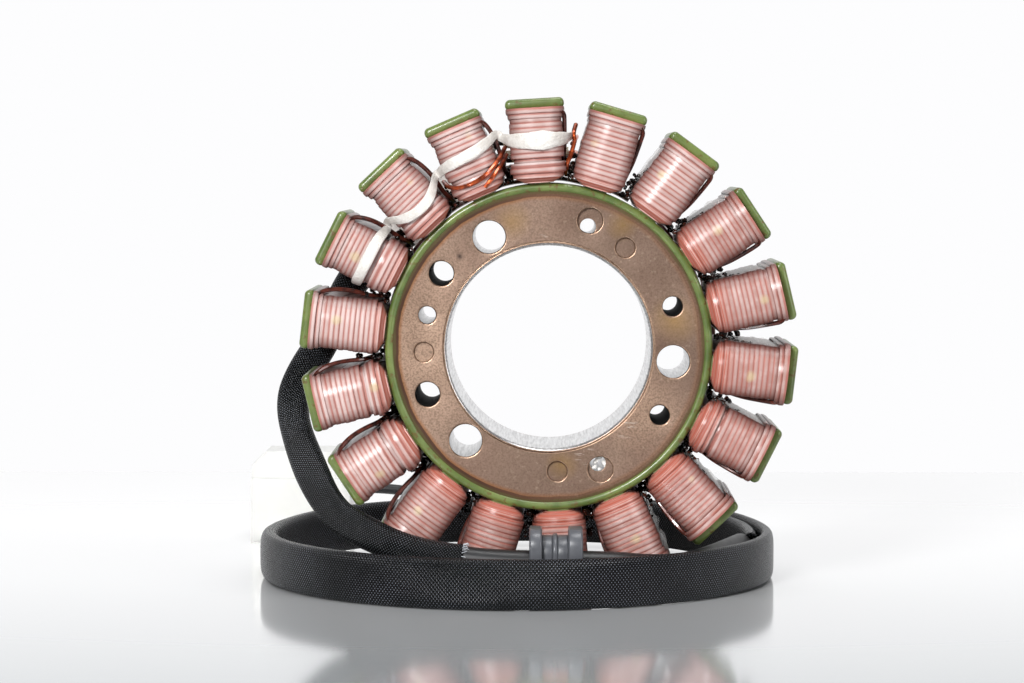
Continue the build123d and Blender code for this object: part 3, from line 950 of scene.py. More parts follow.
# %% Face of the steel
def oxidised_steel():
    """Electrical steel under a brown oxide, with varnish crept over its outer edge."""
    material, tree, place = start_material("oxidised_electrical_steel")
    cloud = add_node(tree, "TexNoise", {"Vector": place, "Scale": per(14), "Detail": 4.0})
    fine = add_node(tree, "TexNoise", {"Vector": place, "Scale": per(0.4), "Detail": 2.0})
    speck = add_node(tree, "TexNoise", {"Vector": place, "Scale": per(0.9), "Detail": 2.0})
    dried = {"Value": cloud, "From Min": 0.3, "From Max": 0.6, "To Min": 0.2, "To Max": 0.7}
    cover = {0: spots(tree, place, OCHRE_BLOTS), 1: add_node(tree, "MapRange", dried)}
    ochre = add_node(tree, "Math", cover, operation="MULTIPLY")
    stains = [
        (cloud, 0.35, 0.65, 1.0, "#907766"),
        # Painted light and painted shade in broad areas of the face
        (spots(tree, place, PAINTED_LIGHT_AREAS), 0.0, 0.7, 0.8, "#a98c77"),
        (spots(tree, place, PAINTED_SHADE_AREAS), 0.0, 0.7, 0.7, "#6b5548"),
        (fine, 0.4, 0.7, 0.65, "#5c4838"),
        (speck, 0.62, 0.75, 0.35, "#a89380"),
        (ochre, 0.0, 1.0, 1.0, "#8a6a35"),
        (scratched(tree, place), 0.0, 1.0, 0.8, "#d8cfc4"),
        (spots(tree, place, DARK_SPOT), 0.0, 1.0, 1.0, "#2b1c16"),
    ]
    shade = stained(tree, "#84695a", stains + crept_varnish(tree, place))
    bump = add_node(tree, "Bump", {"Height": fine, "Strength": 0.5, "Distance": 0.06 * MM})
    satin = {"Value": cloud, "From Min": 0.3, "From Max": 0.7, "To Min": 0.36, "To Max": 0.5}
    rough = add_node(tree, "MapRange", satin)
    inputs = {"Base Color": shade, "Metallic": 0.4, "Roughness": rough, "Normal": bump}
    return end_material(material, inputs)


# %% Ground and varnished steel
def ground_steel(name, base, bright, rough, streak_mm):
    """Ground steel, streaked along the bore axis."""
    material, tree, place = start_material(name)
    squash = add_node(tree, "Mapping", {"Vector": place, "Scale": (1.0, 0.05, 1.0)})
    lines = add_node(tree, "TexNoise", {"Vector": squash, "Scale": per(streak_mm), "Detail": 3.0})
    streak = add_node(tree, "MapRange", {"Value": lines, "From Min": 0.3, "From Max": 0.7})
    shade = stained(tree, base, [(streak, 0.0, 1.0, 1.0, bright)])
    bump = add_node(tree, "Bump", {"Height": streak, "Strength": 0.3, "Distance": 0.03 * MM})
    inputs = {"Base Color": shade, "Metallic": 1.0, "Roughness": rough, "Normal": bump}
    return end_material(material, inputs)


bore_steel = ground_steel("ground_bore_steel", "#b9b8b8", "#ededed", 0.3, 0.45)
edge_steel = ground_steel("burnished_edge_steel", "#8a6f5d", "#ad937f", 0.38, 0.5)
# Painted shade: the walls of the smaller holes are drawn nearly black, as the shade inside them
hole_steel = plain_finish("painted_shade_hole_wall", "#120e0c", 0.75, 1.3)
ring_finishes = [oxidised_steel(), bore_steel, hole_steel, edge_steel]
add_piece("steel_ring", steel_ring_mesh(), ring_finishes, ["lamination_stack"])


# %% [markdown]
# ## Powder coat
#
# Melted epoxy powder pulls back from sharp edges and rounds them, so the rim is a bead and each
# pole shoe is a bar with full, round ends. The bars are an outline carried through the stack and
# drawn in at both ends along a quarter circle.

# %% Powder coat form
TOOTH_WIDTH = 5.0 * MM
TOOTH_EDGE = 0.7 * MM
TOOTH_SET_BACK = 0.6 * MM
SHOE_WIDTH = 13.0 * MM
SHOE_THICKNESS = 2.3 * MM
SHOE_EDGE = 0.95 * MM
BEAD_POINTS = 216
TO_FRONT = Vector((0, -1, 0))
print(f"{POLE_COUNT} poles, {360 / POLE_COUNT:.0f} degrees apart")


def lathe(profile, count):
    """A closed profile of (radius, y) pairs turned about the bore axis."""
    rings = []
    for k in range(count):
        angle = 2 * math.pi * k / count
        c, s = math.cos(angle), math.sin(angle)
        rings.append([Vector((axis_point.x + r * c, y, axis_point.z + r * s)) for r, y in profile])
    return skin(rings, closed=True)


def pole_axes(number):
    """The directions round the core and outwards at one pole, numbered clockwise from the top."""
    angle = math.radians(TOP_POLE_ANGLE - (number - 1) * 360 / POLE_COUNT)
    out = Vector((math.cos(angle), 0, math.sin(angle)))
    clockwise = Vector((math.sin(angle), 0, -math.cos(angle)))
    return clockwise, out


def at_pole(number, across, forward, outward):
    """A point at one pole: clockwise across it, towards the front from mid-stack, and out."""
    clockwise, out = pole_axes(number)
    return axis_point + clockwise * across + TO_FRONT * forward + out * outward


# %% Bars through the stack
def shoe_outline(inset):
    """The shoe's end view: round ends, and curved to the core's radius."""
    half = SHOE_WIDTH / 2 - inset
    rise = SHOE_THICKNESS / 2 - inset
    outline = []
    for u, v in oblong(half, rise, SHOE_THICKNESS * 0.46, 44):
        crown = math.sqrt(outer_radius**2 - u**2) - outer_radius
        outline.append((u, outer_radius - SHOE_THICKNESS / 2 + v + crown * 0.8))
    return outline


def round_end_rings(outline_at, half_depth, edge, number):
    """Rings of a bar through the stack whose ends are drawn in along a quarter circle."""
    steps = [math.pi / 2 * k / 6 for k in range(7)]
    ends = [(half_depth - edge * (1 - math.sin(a)), edge * (1 - math.cos(a))) for a in steps]
    rows = [(forward, inset) for forward, inset in reversed(ends)]
    rows += [(-forward, inset) for forward, inset in ends]
    return [[at_pole(number, u, forward, v) for u, v in outline_at(inset)] for forward, inset in rows]


def tooth_outline(inset):
    """The tooth's end view, from inside the rim to inside the shoe."""
    half = TOOTH_WIDTH / 2 - inset
    low, high = BARE_RADIUS + 0.9 * MM, outer_radius - SHOE_THICKNESS / 2
    return [(u, (low + high) / 2 + v) for u, v in oblong(half, (high - low) / 2, 0.3 * MM, 16)]


# %% Powder coat mesh
def coat_mesh():
    """Rim bead, teeth and shoes in one coat."""
    half_bead = (YOKE_RADIUS - BARE_RADIUS) / 2
    middle = (YOKE_RADIUS + BARE_RADIUS) / 2
    bead = oblong(half_bead, stack_half, half_bead * 0.95, 32)
    parts = [lathe([(middle + u, axis_point.y + v) for u, v in bead], BEAD_POINTS)]
    tooth_half = stack_half - TOOTH_SET_BACK
    for number in range(1, POLE_COUNT + 1):
        parts.append(skin(round_end_rings(shoe_outline, stack_half, SHOE_EDGE, number)))
        parts.append(skin(round_end_rings(tooth_outline, tooth_half, TOOTH_EDGE, number)))
    return mesh_from("powder_coat", parts)


# %% [markdown]
# ## Powder coat finish
#
# Epoxy powder melts to a glossy olive green skin, a little lighter in some places, and the baked
# varnish leaves small brown spots on it. One noise of 5 mm cells clouds the green, and one of
# 1.3 mm, cut off high so that only its peaks are left, scatters the spots. A weak bump of 1.6 mm
# gives the orange peel of a powder coat, and a clear coat over all gives its shine.

# %% Powder coat finish
def green_epoxy():
    """Olive epoxy powder coat with brown spots and a gloss skin."""
    material, tree, place = start_material("green_epoxy_powder_coat")
    cloud = add_node(tree, "TexNoise", {"Vector": place, "Scale": per(5), "Detail": 4.0})
    spot = add_node(tree, "TexNoise", {"Vector": place, "Scale": per(1.3), "Detail": 3.0})
    peel = add_node(tree, "TexNoise", {"Vector": place, "Scale": per(1.6), "Detail": 1.0})
    stains = [(cloud, 0.35, 0.65, 1.0, "#69783e"), (spot, 0.57, 0.68, 0.8, "#5e431f")]
    bump = add_node(tree, "Bump", {"Height": peel, "Strength": 0.3, "Distance": 0.08 * MM})
    inputs = {
        "Base Color": stained(tree, "#4e602c", stains),
        "Roughness": 0.38,
        "IOR": 1.45,
        "Coat Weight": 0.35,
        "Coat Roughness": 0.2,
        "Normal": bump,
    }
    return end_material(material, inputs)


add_piece("powder_coat", coat_mesh(), [green_epoxy()], ["lamination_stack"])

# %% [markdown]
# ## Windings
#
# Each pole carries a coil of enamelled copper wire, 1 mm thick, wound in layers. The outer layer
# shows fifteen turns. A turn is a loop with straight sides and crowned ends, and it climbs to the
# next one along one side, as a winding machine lays it. So each coil is one long helical tube over
# a plain body that closes the gaps. The first turns bow in to the root, and the last one is pressed
# out under the shoe like a collar. Small random shifts keep the turns from looking machined.

# %% Winding sizes
COIL_START = 36.25 * MM
COIL_LENGTH = 16.5 * MM
TURNS = 15
POINTS_A_LOOP = 44
WIRE_SIDES = 10
HALF_WIDTH = 5.95 * MM
ROOT_HALF_WIDTH = 3.4 * MM
CROWN = 4.2 * MM
ROOT_CROWN = 2.0 * MM
ROOT_SHARE = 0.17
STRAIGHT_HALF = stack_half - 0.4 * MM
WIRE_DEEP = 0.2 * MM
BODY_INSET = WIRE_DEEP + 0.25 * MM
BODY_LEVELS = 17
BODY_SIDES = 32
# Coils that differ, numbered clockwise from the top: waists at a share of the coil's height, collars
# pressed further out, turns that are looser and milkier, and roots that show their copper
WAISTS = {1: 0.28, 7: 0.27, 13: 0.30, 14: 0.26, 16: 0.37, 17: 0.26, 18: 0.30}
PROUD_COLLARS = (6, 7, 8)
MILKY = (1, 2, 3, 13, 14, 15, 16, 17, 18)
ORANGE_ROOTS = (4, 5, 6, 7, 8, 9, 10, 11, 12)
pitch = COIL_LENGTH / TURNS
wire_tall = pitch * 0.56
print(f"{TURNS} turns, {pitch / MM:.2f} mm apart")


def swelling(share, middle, spread):
    """One at a share of the coil's height, and fading to none above and below it."""
    return math.exp(-(((share - middle) / spread) ** 2))


# %% Coil sides
def coil_halves(number, share):
    """Half width and crown height of one coil's outside, at a share of its height."""
    inward = max(0.0, 1 - share / ROOT_SHARE)
    bow = math.sqrt(max(0.0, 1 - inward**2.2))
    width = ROOT_HALF_WIDTH + (HALF_WIDTH - ROOT_HALF_WIDTH) * bow
    crown = ROOT_CROWN + (CROWN - ROOT_CROWN) * bow
    proud = -0.2 * MM * swelling(share, 0.86, 0.07) + 0.5 * MM * ease((share - 0.9) / 0.06)
    if number in PROUD_COLLARS:
        proud += 0.4 * MM * ease((share - 0.84) / 0.05)
    if number in WAISTS:
        proud -= 0.75 * MM * swelling(share, WAISTS[number], 0.04)
        proud += 0.3 * MM * swelling(share, WAISTS[number] - 0.12, 0.06)
    return width + proud, crown + proud


def loop_place(turned, half_width, crown):
    """A point of a winding loop, across the tooth and towards the front, for a share of a turn."""
    arch, side = 0.38, 0.12
    if turned < arch:
        angle, sign = math.pi * turned / arch, 1
    elif turned < arch + side:
        return -half_width, STRAIGHT_HALF * (1 - 2 * (turned - arch) / side)
    elif turned < 2 * arch + side:
        angle, sign = math.pi * (turned - arch - side) / arch, -1
    else:
        return half_width, STRAIGHT_HALF * (2 * (turned - 2 * arch - side) / side - 1)
    c, s = math.cos(angle), math.sin(angle)
    u = math.copysign(abs(c) ** 0.88, c) * half_width * sign
    v = (STRAIGHT_HALF + abs(s) ** 0.88 * crown) * sign
    return u, v


# %% Winding wire
def wire_line(number, draw):
    """The helical wire of one coil as rows of (across, forward, height, tone, flank).

    The tone is one random share for each turn, and the flank is none on the coil's middle line and
    one on its sides.
    """
    loose = 1.7 if number in MILKY else 1.0
    shifts = [
        (draw.gauss(0, 0.04 * loose), draw.gauss(0, 0.06 * loose), draw.random()) for _ in range(TURNS + 1)
    ]
    lean = draw.uniform(-0.25, 0.25) * MM
    rows = []
    for step in range(TURNS * POINTS_A_LOOP + 1):
        turn, rest = divmod(step, POINTS_A_LOOP)
        turned = rest / POINTS_A_LOOP
        climbed = min(TURNS - 1, turn + ease((turned - 0.88) / 0.12))
        width, crown = coil_halves(number, climbed / (TURNS - 1))
        width += shifts[turn][0] * MM - WIRE_DEEP
        crown += shifts[turn][1] * MM - WIRE_DEEP
        u, v = loop_place(turned, width, crown)
        height = wire_tall + climbed * (COIL_LENGTH - 2 * wire_tall) / (TURNS - 1)
        bend = lean * (u / width) * (1 - climbed / (TURNS - 1)) * min(1.0, climbed / 3)
        rows.append((u, v, height + bend, shifts[turn][2], abs(u) / width))
    return rows


# %% Winding body and varnish
GLAZE_TILT = math.radians(52)


def coil_body_rings(number):
    """Rings of the plain body inside the wire, from the rim to the shoe."""
    rings = []
    for level in range(BODY_LEVELS):
        share = level / (BODY_LEVELS - 1)
        width, crown = coil_halves(number, share)
        ring = [loop_place(k / BODY_SIDES, width - BODY_INSET, crown - BODY_INSET) for k in range(BODY_SIDES)]
        rings.append([at_pole(number, u, v, COIL_START + share * COIL_LENGTH) for u, v in ring])
    return rings


def coil_slope(number, share, at_front):
    """How steeply a coil's outside spreads outwards there, at its crown or at its side."""
    reach, steepest = 0.03, 1.2
    above = coil_halves(number, share + reach)[at_front]
    below = coil_halves(number, share - reach)[at_front]
    return max(-steepest, min(steepest, (above - below) / (2 * reach * COIL_LENGTH)))


def varnish_facing(number, row, outward, steep):
    """Which way the smooth skin of varnish faces over a section of the wire."""
    side, out = pole_axes(number)
    across, forward, _, _, flank = row
    if abs(forward) > STRAIGHT_HALF:
        tilt = math.copysign(flank, across) * GLAZE_TILT
        outward = TO_FRONT * math.copysign(math.cos(tilt), forward) + side * math.sin(tilt)
    return (outward - out * steep * 0.5).normalized()


# %% Winding meshes
MILK = 0.45
COOL_ROOT = 0.1


def wire_rings(number, rows):
    """Rings of the wire, and for each point its (tone, crest, flank, rise) and its varnish's facing."""
    _, out = pole_axes(number)
    places = [at_pole(number, u, v, COIL_START + height) for u, v, height, _, _ in rows]
    rings, marks, glaze = [], [], []
    for place, heading, row in zip(places, headings(places), rows):
        _, forward, height, tone, flank = row
        outward = out.cross(heading).normalized()
        if outward.dot(place - at_pole(number, 0, 0, height + COIL_START)) < 0:
            outward = -outward
        share = height / COIL_LENGTH
        steep = coil_slope(number, share, abs(forward) > STRAIGHT_HALF)
        ring = []
        for k in range(WIRE_SIDES):
            c, s = math.cos(2 * math.pi * k / WIRE_SIDES), math.sin(2 * math.pi * k / WIRE_SIDES)
            flat = math.copysign(abs(c) ** 0.4, c)
            ring.append(place + outward * flat * WIRE_DEEP + out * s * wire_tall)
            crest = (flat - s * steep) / math.hypot(1, steep)
            marks.append((tone * 0.5, crest, flank, share + s * wire_tall / COIL_LENGTH))
        rings.append(ring)
        glaze += [*varnish_facing(number, row, outward, steep)] * WIRE_SIDES
    return rings, marks, glaze


def winding_mesh(number):
    """One coil: the wire and its body. Each point carries what its colour depends on."""
    rings, marks, glaze = wire_rings(number, wire_line(number, random.Random(100 + number)))
    milk = MILK if number in MILKY else 0.0
    cool = 0.0 if number in ORANGE_ROOTS else COOL_ROOT
    marks = [(tone + milk, crest, flank, rise + cool) for tone, crest, flank, rise in marks]
    for level in range(BODY_LEVELS):
        marks += [(0.5, 0.0, 0.5, level / (BODY_LEVELS - 1) + cool)] * BODY_SIDES
        glaze += [*TO_FRONT] * BODY_SIDES
    mesh = mesh_from(f"winding_{number:02d}", [skin(rings), skin(coil_body_rings(number))])
    for name, values in zip(("tone", "crest", "flank", "rise"), zip(*marks)):
        mesh.attributes.new(name, "FLOAT", "POINT").data.foreach_set("value", values)
    across, outward = BLOTS.get(number, (0, 0))
    middle = at_pole(number, across * MM, stack_half + CROWN, outward * MM)
    for name, values in (("blot", [*middle] * len(marks)), ("glaze", glaze)):
        mesh.attributes.new(name, "FLOAT_VECTOR", "POINT").data.foreach_set("vector", values)
    return mesh


# %% [markdown]
# ## Enamelled wire finish
#
# The enamel is clear amber over copper, and the whole coil was dipped in varnish and baked. Baked
# varnish is milky where it is thick, so each turn shows a pale pink crest between two thin lines of
# orange copper. The flanks are painted darker, as painted shade where they turn away from the light.
# The root is nearly copper, and a cream blot of thick varnish sits on the face of many coils. At the
# root the turns of the inner layers show as finer lines. All this depends on where a point lies on
# its coil, so each mesh carries that as attributes, and one material serves all eighteen. The varnish
# also fills the grooves, so its glossy skin is smoother than the wires under it. The clear coat takes
# its own normals from the attribute called glaze for that, and shows one long soft streak.

# %% Enamelled wire finish
INNER_TURNS = 27
BLOT_DRIFT = 1.6 * MM
# Cream blots of varnish: coil number, and (across it, distance from the axis) in millimetres
BLOTS = {
    2: (-3.4, 45.9), 3: (-3.0, 45.2), 4: (-1.5, 45.2), 5: (0.4, 48.2), 6: (1.0, 44.8),
    8: (-3.4, 42.6), 9: (-1.0, 46.0), 12: (1.8, 46.0), 13: (-2.8, 46.0), 14: (0.5, 39.2),
    15: (0.9, 46.9), 16: (-1.0, 46.9), 17: (3.2, 47.3), 18: (2.6, 49.6),
}


def inner_turn_lines(tree, rise):
    """Fine lines at the root, where the turns of the inner layers show and lie closer."""
    turned = add_node(tree, "Math", {0: rise, 1: 2 * math.pi * INNER_TURNS}, operation="MULTIPLY")
    wave = add_node(tree, "Math", {0: turned}, operation="SINE")
    line = add_node(tree, "MapRange", {"Value": wave, "From Min": 0.2, "From Max": 0.9})
    at_root = add_node(tree, "MapRange", {"Value": rise, "From Min": 0.24, "From Max": 0.15})
    return add_node(tree, "Math", {0: line, 1: at_root}, operation="MULTIPLY")


def varnished_wire():
    """Enamelled copper wire under milky baked varnish."""
    material, tree, place = start_material("varnished_enamelled_copper")
    marks = {}
    for mark in ("tone", "crest", "flank", "rise", "blot", "glaze"):
        node = add_node(tree, "Attribute", attribute_name=mark)
        marks[mark] = node.outputs["Vector" if mark in ("blot", "glaze") else "Fac"]
    drift = add_node(tree, "TexNoise", {"Vector": place, "Scale": per(2.4), "Detail": 3.0})
    wrinkle = add_node(tree, "TexNoise", {"Vector": place, "Scale": per(1.1), "Detail": 2.0})
    to_blot = {0: place, 1: marks["blot"]}
    away = add_node(tree, "VectorMath", to_blot, operation="DISTANCE").outputs["Value"]
    blot_edge = add_node(tree, "Math", {0: drift, 1: BLOT_DRIFT, 2: away}, operation="MULTIPLY_ADD")
    stains = [
        (marks["tone"], 0.2, 0.9, 0.8, "#cdb8b4"),
        (drift, 0.45, 0.75, 0.5, "#cbb7b2"),
        (marks["rise"], 0.3, 0.03, 0.45, "#cf7a62"),
        (marks["crest"], 0.99, 0.82, 0.75, "#a0503f"),
        (inner_turn_lines(tree, marks["rise"]), 0.0, 1.0, 0.9, "#a5452c"),
        (blot_edge, 2.3 * MM, 1.4 * MM, 0.7, "#c0ac86"),
        # Painted shade: the flanks darken towards the coil's sides, where they turn away from the light
        (marks["flank"], 0.55, 1.0, 0.8, "#5d3029"),
    ]
    round_turn = {"Height": marks["crest"], "Strength": 0.7, "Distance": 0.22 * MM}
    turns = add_node(tree, "Bump", round_turn)
    dents = {"Height": wrinkle, "Strength": 0.2, "Distance": 0.06 * MM, "Normal": turns}
    ripple = {"Height": wrinkle, "Strength": 0.35, "Distance": 0.08 * MM, "Normal": marks["glaze"]}
    inputs = {
        "Base Color": stained(tree, "#a27d76", stains),
        "Roughness": 0.5,
        "IOR": 1.4,
        "Coat Weight": 0.8,
        "Coat Roughness": 0.3,
        "Coat Normal": add_node(tree, "Bump", ripple),
        "Normal": add_node(tree, "Bump", dents),
    }
    return end_material(material, inputs)


# %% Winding pieces
wire_finish = varnished_wire()
for pole in range(1, POLE_COUNT + 1):
    add_piece(f"winding_{pole:02d}", winding_mesh(pole), [wire_finish], [f"coil_{pole:02d}"])

# %% [markdown]
# ## Loose wires
#
# The last turn of each coil leaves under the shoe, comes down its clockwise side and goes to the
# back, where it crosses over to the next coil of its phase. Two bare-looking copper wires also run
# over the coil at the top left. All are short runs of points at a pole: across it, forward and out.
# Cutting the corners of such a run a few times makes it as smooth as a bent wire.

# %% Loose wires
WIRE_RADIUS = 0.5 * MM
ASKEW = Vector((0.31, 0.77, 0.55))  # a direction that no wire here runs along
SMOOTHING_ROUNDS = 3


def smooth(rows):
    """Cuts the corners of a row of points, or of longer tuples, and keeps its two ends."""
    for _ in range(SMOOTHING_ROUNDS):
        cut = [rows[0]]
        for before, after in zip(rows, rows[1:]):
            cut.append(tuple(0.75 * a + 0.25 * b for a, b in zip(before, after)))
            cut.append(tuple(0.25 * a + 0.75 * b for a, b in zip(before, after)))
        rows = cut + [rows[-1]]
    return rows


def wire_skin(line, radius, sides=8):
    """A round wire along a line of points, whose sections don't twist."""
    across = ASKEW
    rings = []
    for point, way in zip(line, headings(line)):
        across = (across - way * across.dot(way)).normalized()
        rings.append(flat_ring(point, way, across, 2 * radius, 2 * radius, 2.0, sides))
    return skin(rings)


def pole_line(rows):
    """A smooth line through rows of (pole, across, forward, out) in millimetres."""
    places = [tuple(at_pole(pole, u * MM, f * MM, v * MM)) for pole, u, f, v in rows]
    return [Vector(point) for point in smooth(places)]


def enamelled_copper(name, base, dark, metallic):
    """Magnet wire: copper seen through amber enamel, in places under brown varnish."""
    material, tree, place = start_material(name)
    drift = add_node(tree, "TexNoise", {"Vector": place, "Scale": per(1.6), "Detail": 3.0})
    shade = stained(tree, base, [(drift, 0.45, 0.65, 1.0, dark)])
    inputs = {"Base Color": shade, "Metallic": metallic, "Roughness": 0.28, "Coat Weight": 0.7}
    return end_material(material, inputs)


# Wires as rows of (pole, across it, forward from mid-stack, distance from the axis) in millimetres
BRIGHT_WIRES = [
    [(18, 8.6, 10.0, 44.2), (18, 6.4, 16.0, 42.3), (18, 3.2, 19.4, 40.4), (18, -0.6, 20.1, 39.6),
     (18, -4.2, 18.6, 39.9), (18, -6.2, 15.0, 41.0), (18, -6.9, 10.0, 42.6)],
    [(18, 8.2, 11.0, 42.6), (18, 6.0, 16.6, 40.7), (18, 3.4, 18.8, 39.0), (18, 1.2, 18.6, 37.9)],
    [(1, 8.4, 11.0, 45.0), (1, 7.6, 14.5, 42.6), (1, 6.4, 15.0, 40.0), (1, 5.8, 12.0, 38.0)],
    [(1, 8.9, 8.0, 48.6), (1, 8.2, 11.0, 46.8), (1, 8.4, 11.0, 45.0)],
]
LOOSE_FROM_POLE = 12


# %% Lead wires
def lead_wire(pole, shift):
    """The last turn's end: down the clockwise side of a coil. It stands off further on the left coils."""
    loose = pole >= LOOSE_FROM_POLE
    stand = shift + (0.6 if loose else -0.45)
    foot = 6.8 if loose else 5.3
    rows = [
        (pole, 5.4, 16.6, 52.0), (pole, 6.4, 15.2, 51.2), (pole, 6.7 + 0.6 * stand, 14.0, 49.4),
        (pole, 6.8 + stand, 13.0, 46.8), (pole, 6.6 + stand, 12.2, 43.6), (pole, 6.0 + stand, 11.2, 40.6),
        (pole, foot, 9.0, 38.2), (pole, foot - 0.4, 3.0, 37.2),
    ]
    return wire_skin(pole_line(rows), WIRE_RADIUS)


wire_draw = random.Random(31)
dark_wires = [lead_wire(pole, wire_draw.uniform(-0.1, 0.2)) for pole in range(1, POLE_COUNT + 1)]
bright_wires = [wire_skin(pole_line(rows), WIRE_RADIUS) for rows in BRIGHT_WIRES]
dark_enamel = enamelled_copper("varnished_lead_wire", "#5a281e", "#2a110c", 0.15)
bright_enamel = enamelled_copper("enamelled_copper_wire", "#c8592a", "#7c2f14", 0.75)
add_piece("coil_lead_wires", mesh_from("coil_lead_wires", dark_wires), [dark_enamel])
add_piece("copper_lead_wires", mesh_from("copper_lead_wires", bright_wires), [bright_enamel])

# %% [markdown]
# ## Crossover wires
#
# On the back, the wires between coils of one phase lie round the roots of the coils. Through the
# gaps they show as dark lines above the rim. They follow the core, so their points come from an
# angle and a slow wave in a loop, and not from a list.

# %% Crossover wires
CROSSOVER_STEP = 2.5


def crossover(reach, forward, start, sweep, wave):
    """A wire that lies round the core, slightly wavy."""
    line = []
    for k in range(int(sweep / CROSSOVER_STEP) + 1):
        angle = start + CROSSOVER_STEP * k
        x, z = polar((reach + 0.15 * math.sin(angle * wave)) * MM, angle)
        line.append(Vector((x, axis_point.y - (forward + 0.2 * math.cos(angle * wave)) * MM, z)))
    return wire_skin(line, WIRE_RADIUS, 6)


crossovers = [
    crossover(36.9, -18.6, 60, 355, 0.31),
    crossover(38.0, -19.9, 170, 240, 0.23),
    crossover(39.1, -20.1, 185, 150, 0.17),
]
add_piece("crossover_wires", mesh_from("crossover_wires", crossovers), [dark_enamel])

# %% [markdown]
# ## Baked varnish
#
# The stator was dipped and baked. Between the roots of the coils the varnish ran together into
# nearly black, glossy lumps. Along the sides of some coils it dried as thin clear films, and one
# eyelet was left half closed by a white scab of it. Sculpting could shape such drops, but a ball
# whose points are pushed in and out by noise does the same in a few lines, and hundreds of them
# cost nothing to place. A film is a thin fin with a ragged edge, and its threads follow that edge.

# %% Baked varnish
def dark_varnish():
    """Thick baked varnish: almost black resin with a wet gloss."""
    material, tree, place = start_material("dark_baked_varnish")
    thin = add_node(tree, "TexNoise", {"Vector": place, "Scale": per(1.2), "Detail": 3.0})
    lumpy = add_node(tree, "TexNoise", {"Vector": place, "Scale": per(0.7), "Detail": 2.0})
    shade = stained(tree, "#120b09", [(thin, 0.5, 0.62, 1.0, "#4a2013")])
    bump = add_node(tree, "Bump", {"Height": lumpy, "Strength": 0.8, "Distance": 0.3 * MM})
    return end_material(material, {"Base Color": shade, "Roughness": 0.08, "IOR": 1.55, "Normal": bump})


def clear_varnish():
    """Thin clear resin: a ragged film that mostly shows by its edges."""
    material, tree, place = start_material("clear_varnish_film")
    lumpy = add_node(tree, "TexNoise", {"Vector": place, "Scale": per(0.9), "Detail": 3.0})
    bump = add_node(tree, "Bump", {"Height": lumpy, "Strength": 0.25, "Distance": 0.15 * MM})
    inputs = {
        "Base Color": colour("#fdfdfb"),
        "Roughness": 0.1,
        "IOR": 1.06,
        "Transmission Weight": 0.9,
        "Alpha": 0.45,
        "Normal": bump,
    }
    return end_material(material, inputs)


# %% Varnish lumps
LUMPS_A_GAP = 16


def lump(centre, radius, draw):
    """One small uneven drop of varnish."""
    seed = Vector((draw.uniform(0, 50), 0, 0))
    rings = []
    for i in range(7):
        tilt = math.pi * (i + 0.02) / 6.04
        ring = []
        for k in range(10):
            turn = 2 * math.pi * k / 10
            way = Vector((math.sin(tilt) * math.cos(turn), math.cos(tilt), math.sin(tilt) * math.sin(turn)))
            ring.append(centre + way * radius * (1 + 0.45 * noise.noise(way * 1.4 + seed)))
        rings.append(ring)
    return skin(rings)


def lump_parts():
    """Clusters of drops in every gap, close to the roots of the coils."""
    draw = random.Random(5)
    parts = []
    for pole in range(1, POLE_COUNT + 1):
        for _ in range(LUMPS_A_GAP):
            outward = 36.7 + 5.2 * draw.random() ** 1.6
            middle = outward * math.tan(math.pi / POLE_COUNT)
            across, forward = middle + draw.uniform(-1.1, 1.1), draw.uniform(-2, 14)
            centre = at_pole(pole, across * MM, forward * MM, outward * MM)
            parts.append(lump(centre, draw.uniform(0.3, 0.75) * MM, draw))
    return parts


# %% Varnish films
# The films' coils and steps, and their sizes in millimetres. A foot is where a film meets its coil:
# (across the pole, forward from mid-stack).
FILM_POLES = (3, 4, 5, 6, 7, 8, 9)
FILM_STEPS = 30
FILM_ROOT = 38.0
FILM_LENGTH = 13.5
FILM_REACH = 6.2
FILM_RAGGED = 1.7
FILM_FORWARD = 10.6
FILM_FOLD = 0.4
FILM_THICKNESS = 0.3
FRONT_FOOT, BACK_FOOT = (5.6, 11.2), (5.6, 10.4)
print(f"films on {len(FILM_POLES)} coils")


def film_edge(seed, step):
    """Where a film of clear varnish ends at one of its steps: (across, forward, out) in millimetres."""
    outward = FILM_ROOT + FILM_LENGTH * step / FILM_STEPS
    ragged = 0.5 + 0.5 * noise.noise(Vector((seed, outward * 0.5, 0)))
    reach = FILM_REACH + FILM_RAGGED * ragged * math.sin(math.pi * step / FILM_STEPS) ** 0.4
    fold = FILM_FOLD * noise.noise(Vector((seed + 9, outward * 0.4, 0)))
    return reach, FILM_FORWARD + fold, outward


def film_parts():
    """Ragged fins of clear varnish along the counterclockwise side of some coils."""
    parts = []
    for pole in FILM_POLES:
        rings = []
        for step in range(FILM_STEPS + 1):
            reach, forward, outward = film_edge(pole * 7.3, step)
            edge = ((reach, forward), (reach, forward - FILM_THICKNESS))
            corners = (FRONT_FOOT, *edge, BACK_FOOT)
            rings.append([at_pole(pole, -u * MM, f * MM, outward * MM) for u, f in corners])
        parts.append(skin(rings))
    return parts


# %% Varnish threads
# (place from the film's edge to the coil, first step, last step, radius in millimetres)
THREADS = ((0.0, 0, 8, 0.16), (1.0, 0, 15, 0.26), (0.5, 0, 6, 0.36))
POINTS_A_STEP = 6
COIL_SIDE = 5.9
THREAD_SHAKE = 0.45


def shaken(seed, outward, places):
    """Three places in millimetres, each moved a little by its own noise.

    One call of noise_vector would do, but its values change from run to run.
    """
    moved = []
    for k, place in enumerate(places):
        shift = THREAD_SHAKE * noise.noise(Vector((seed, outward * 2.2, 4 + 9 * k)))
        moved.append((place + shift) * MM)
    return moved


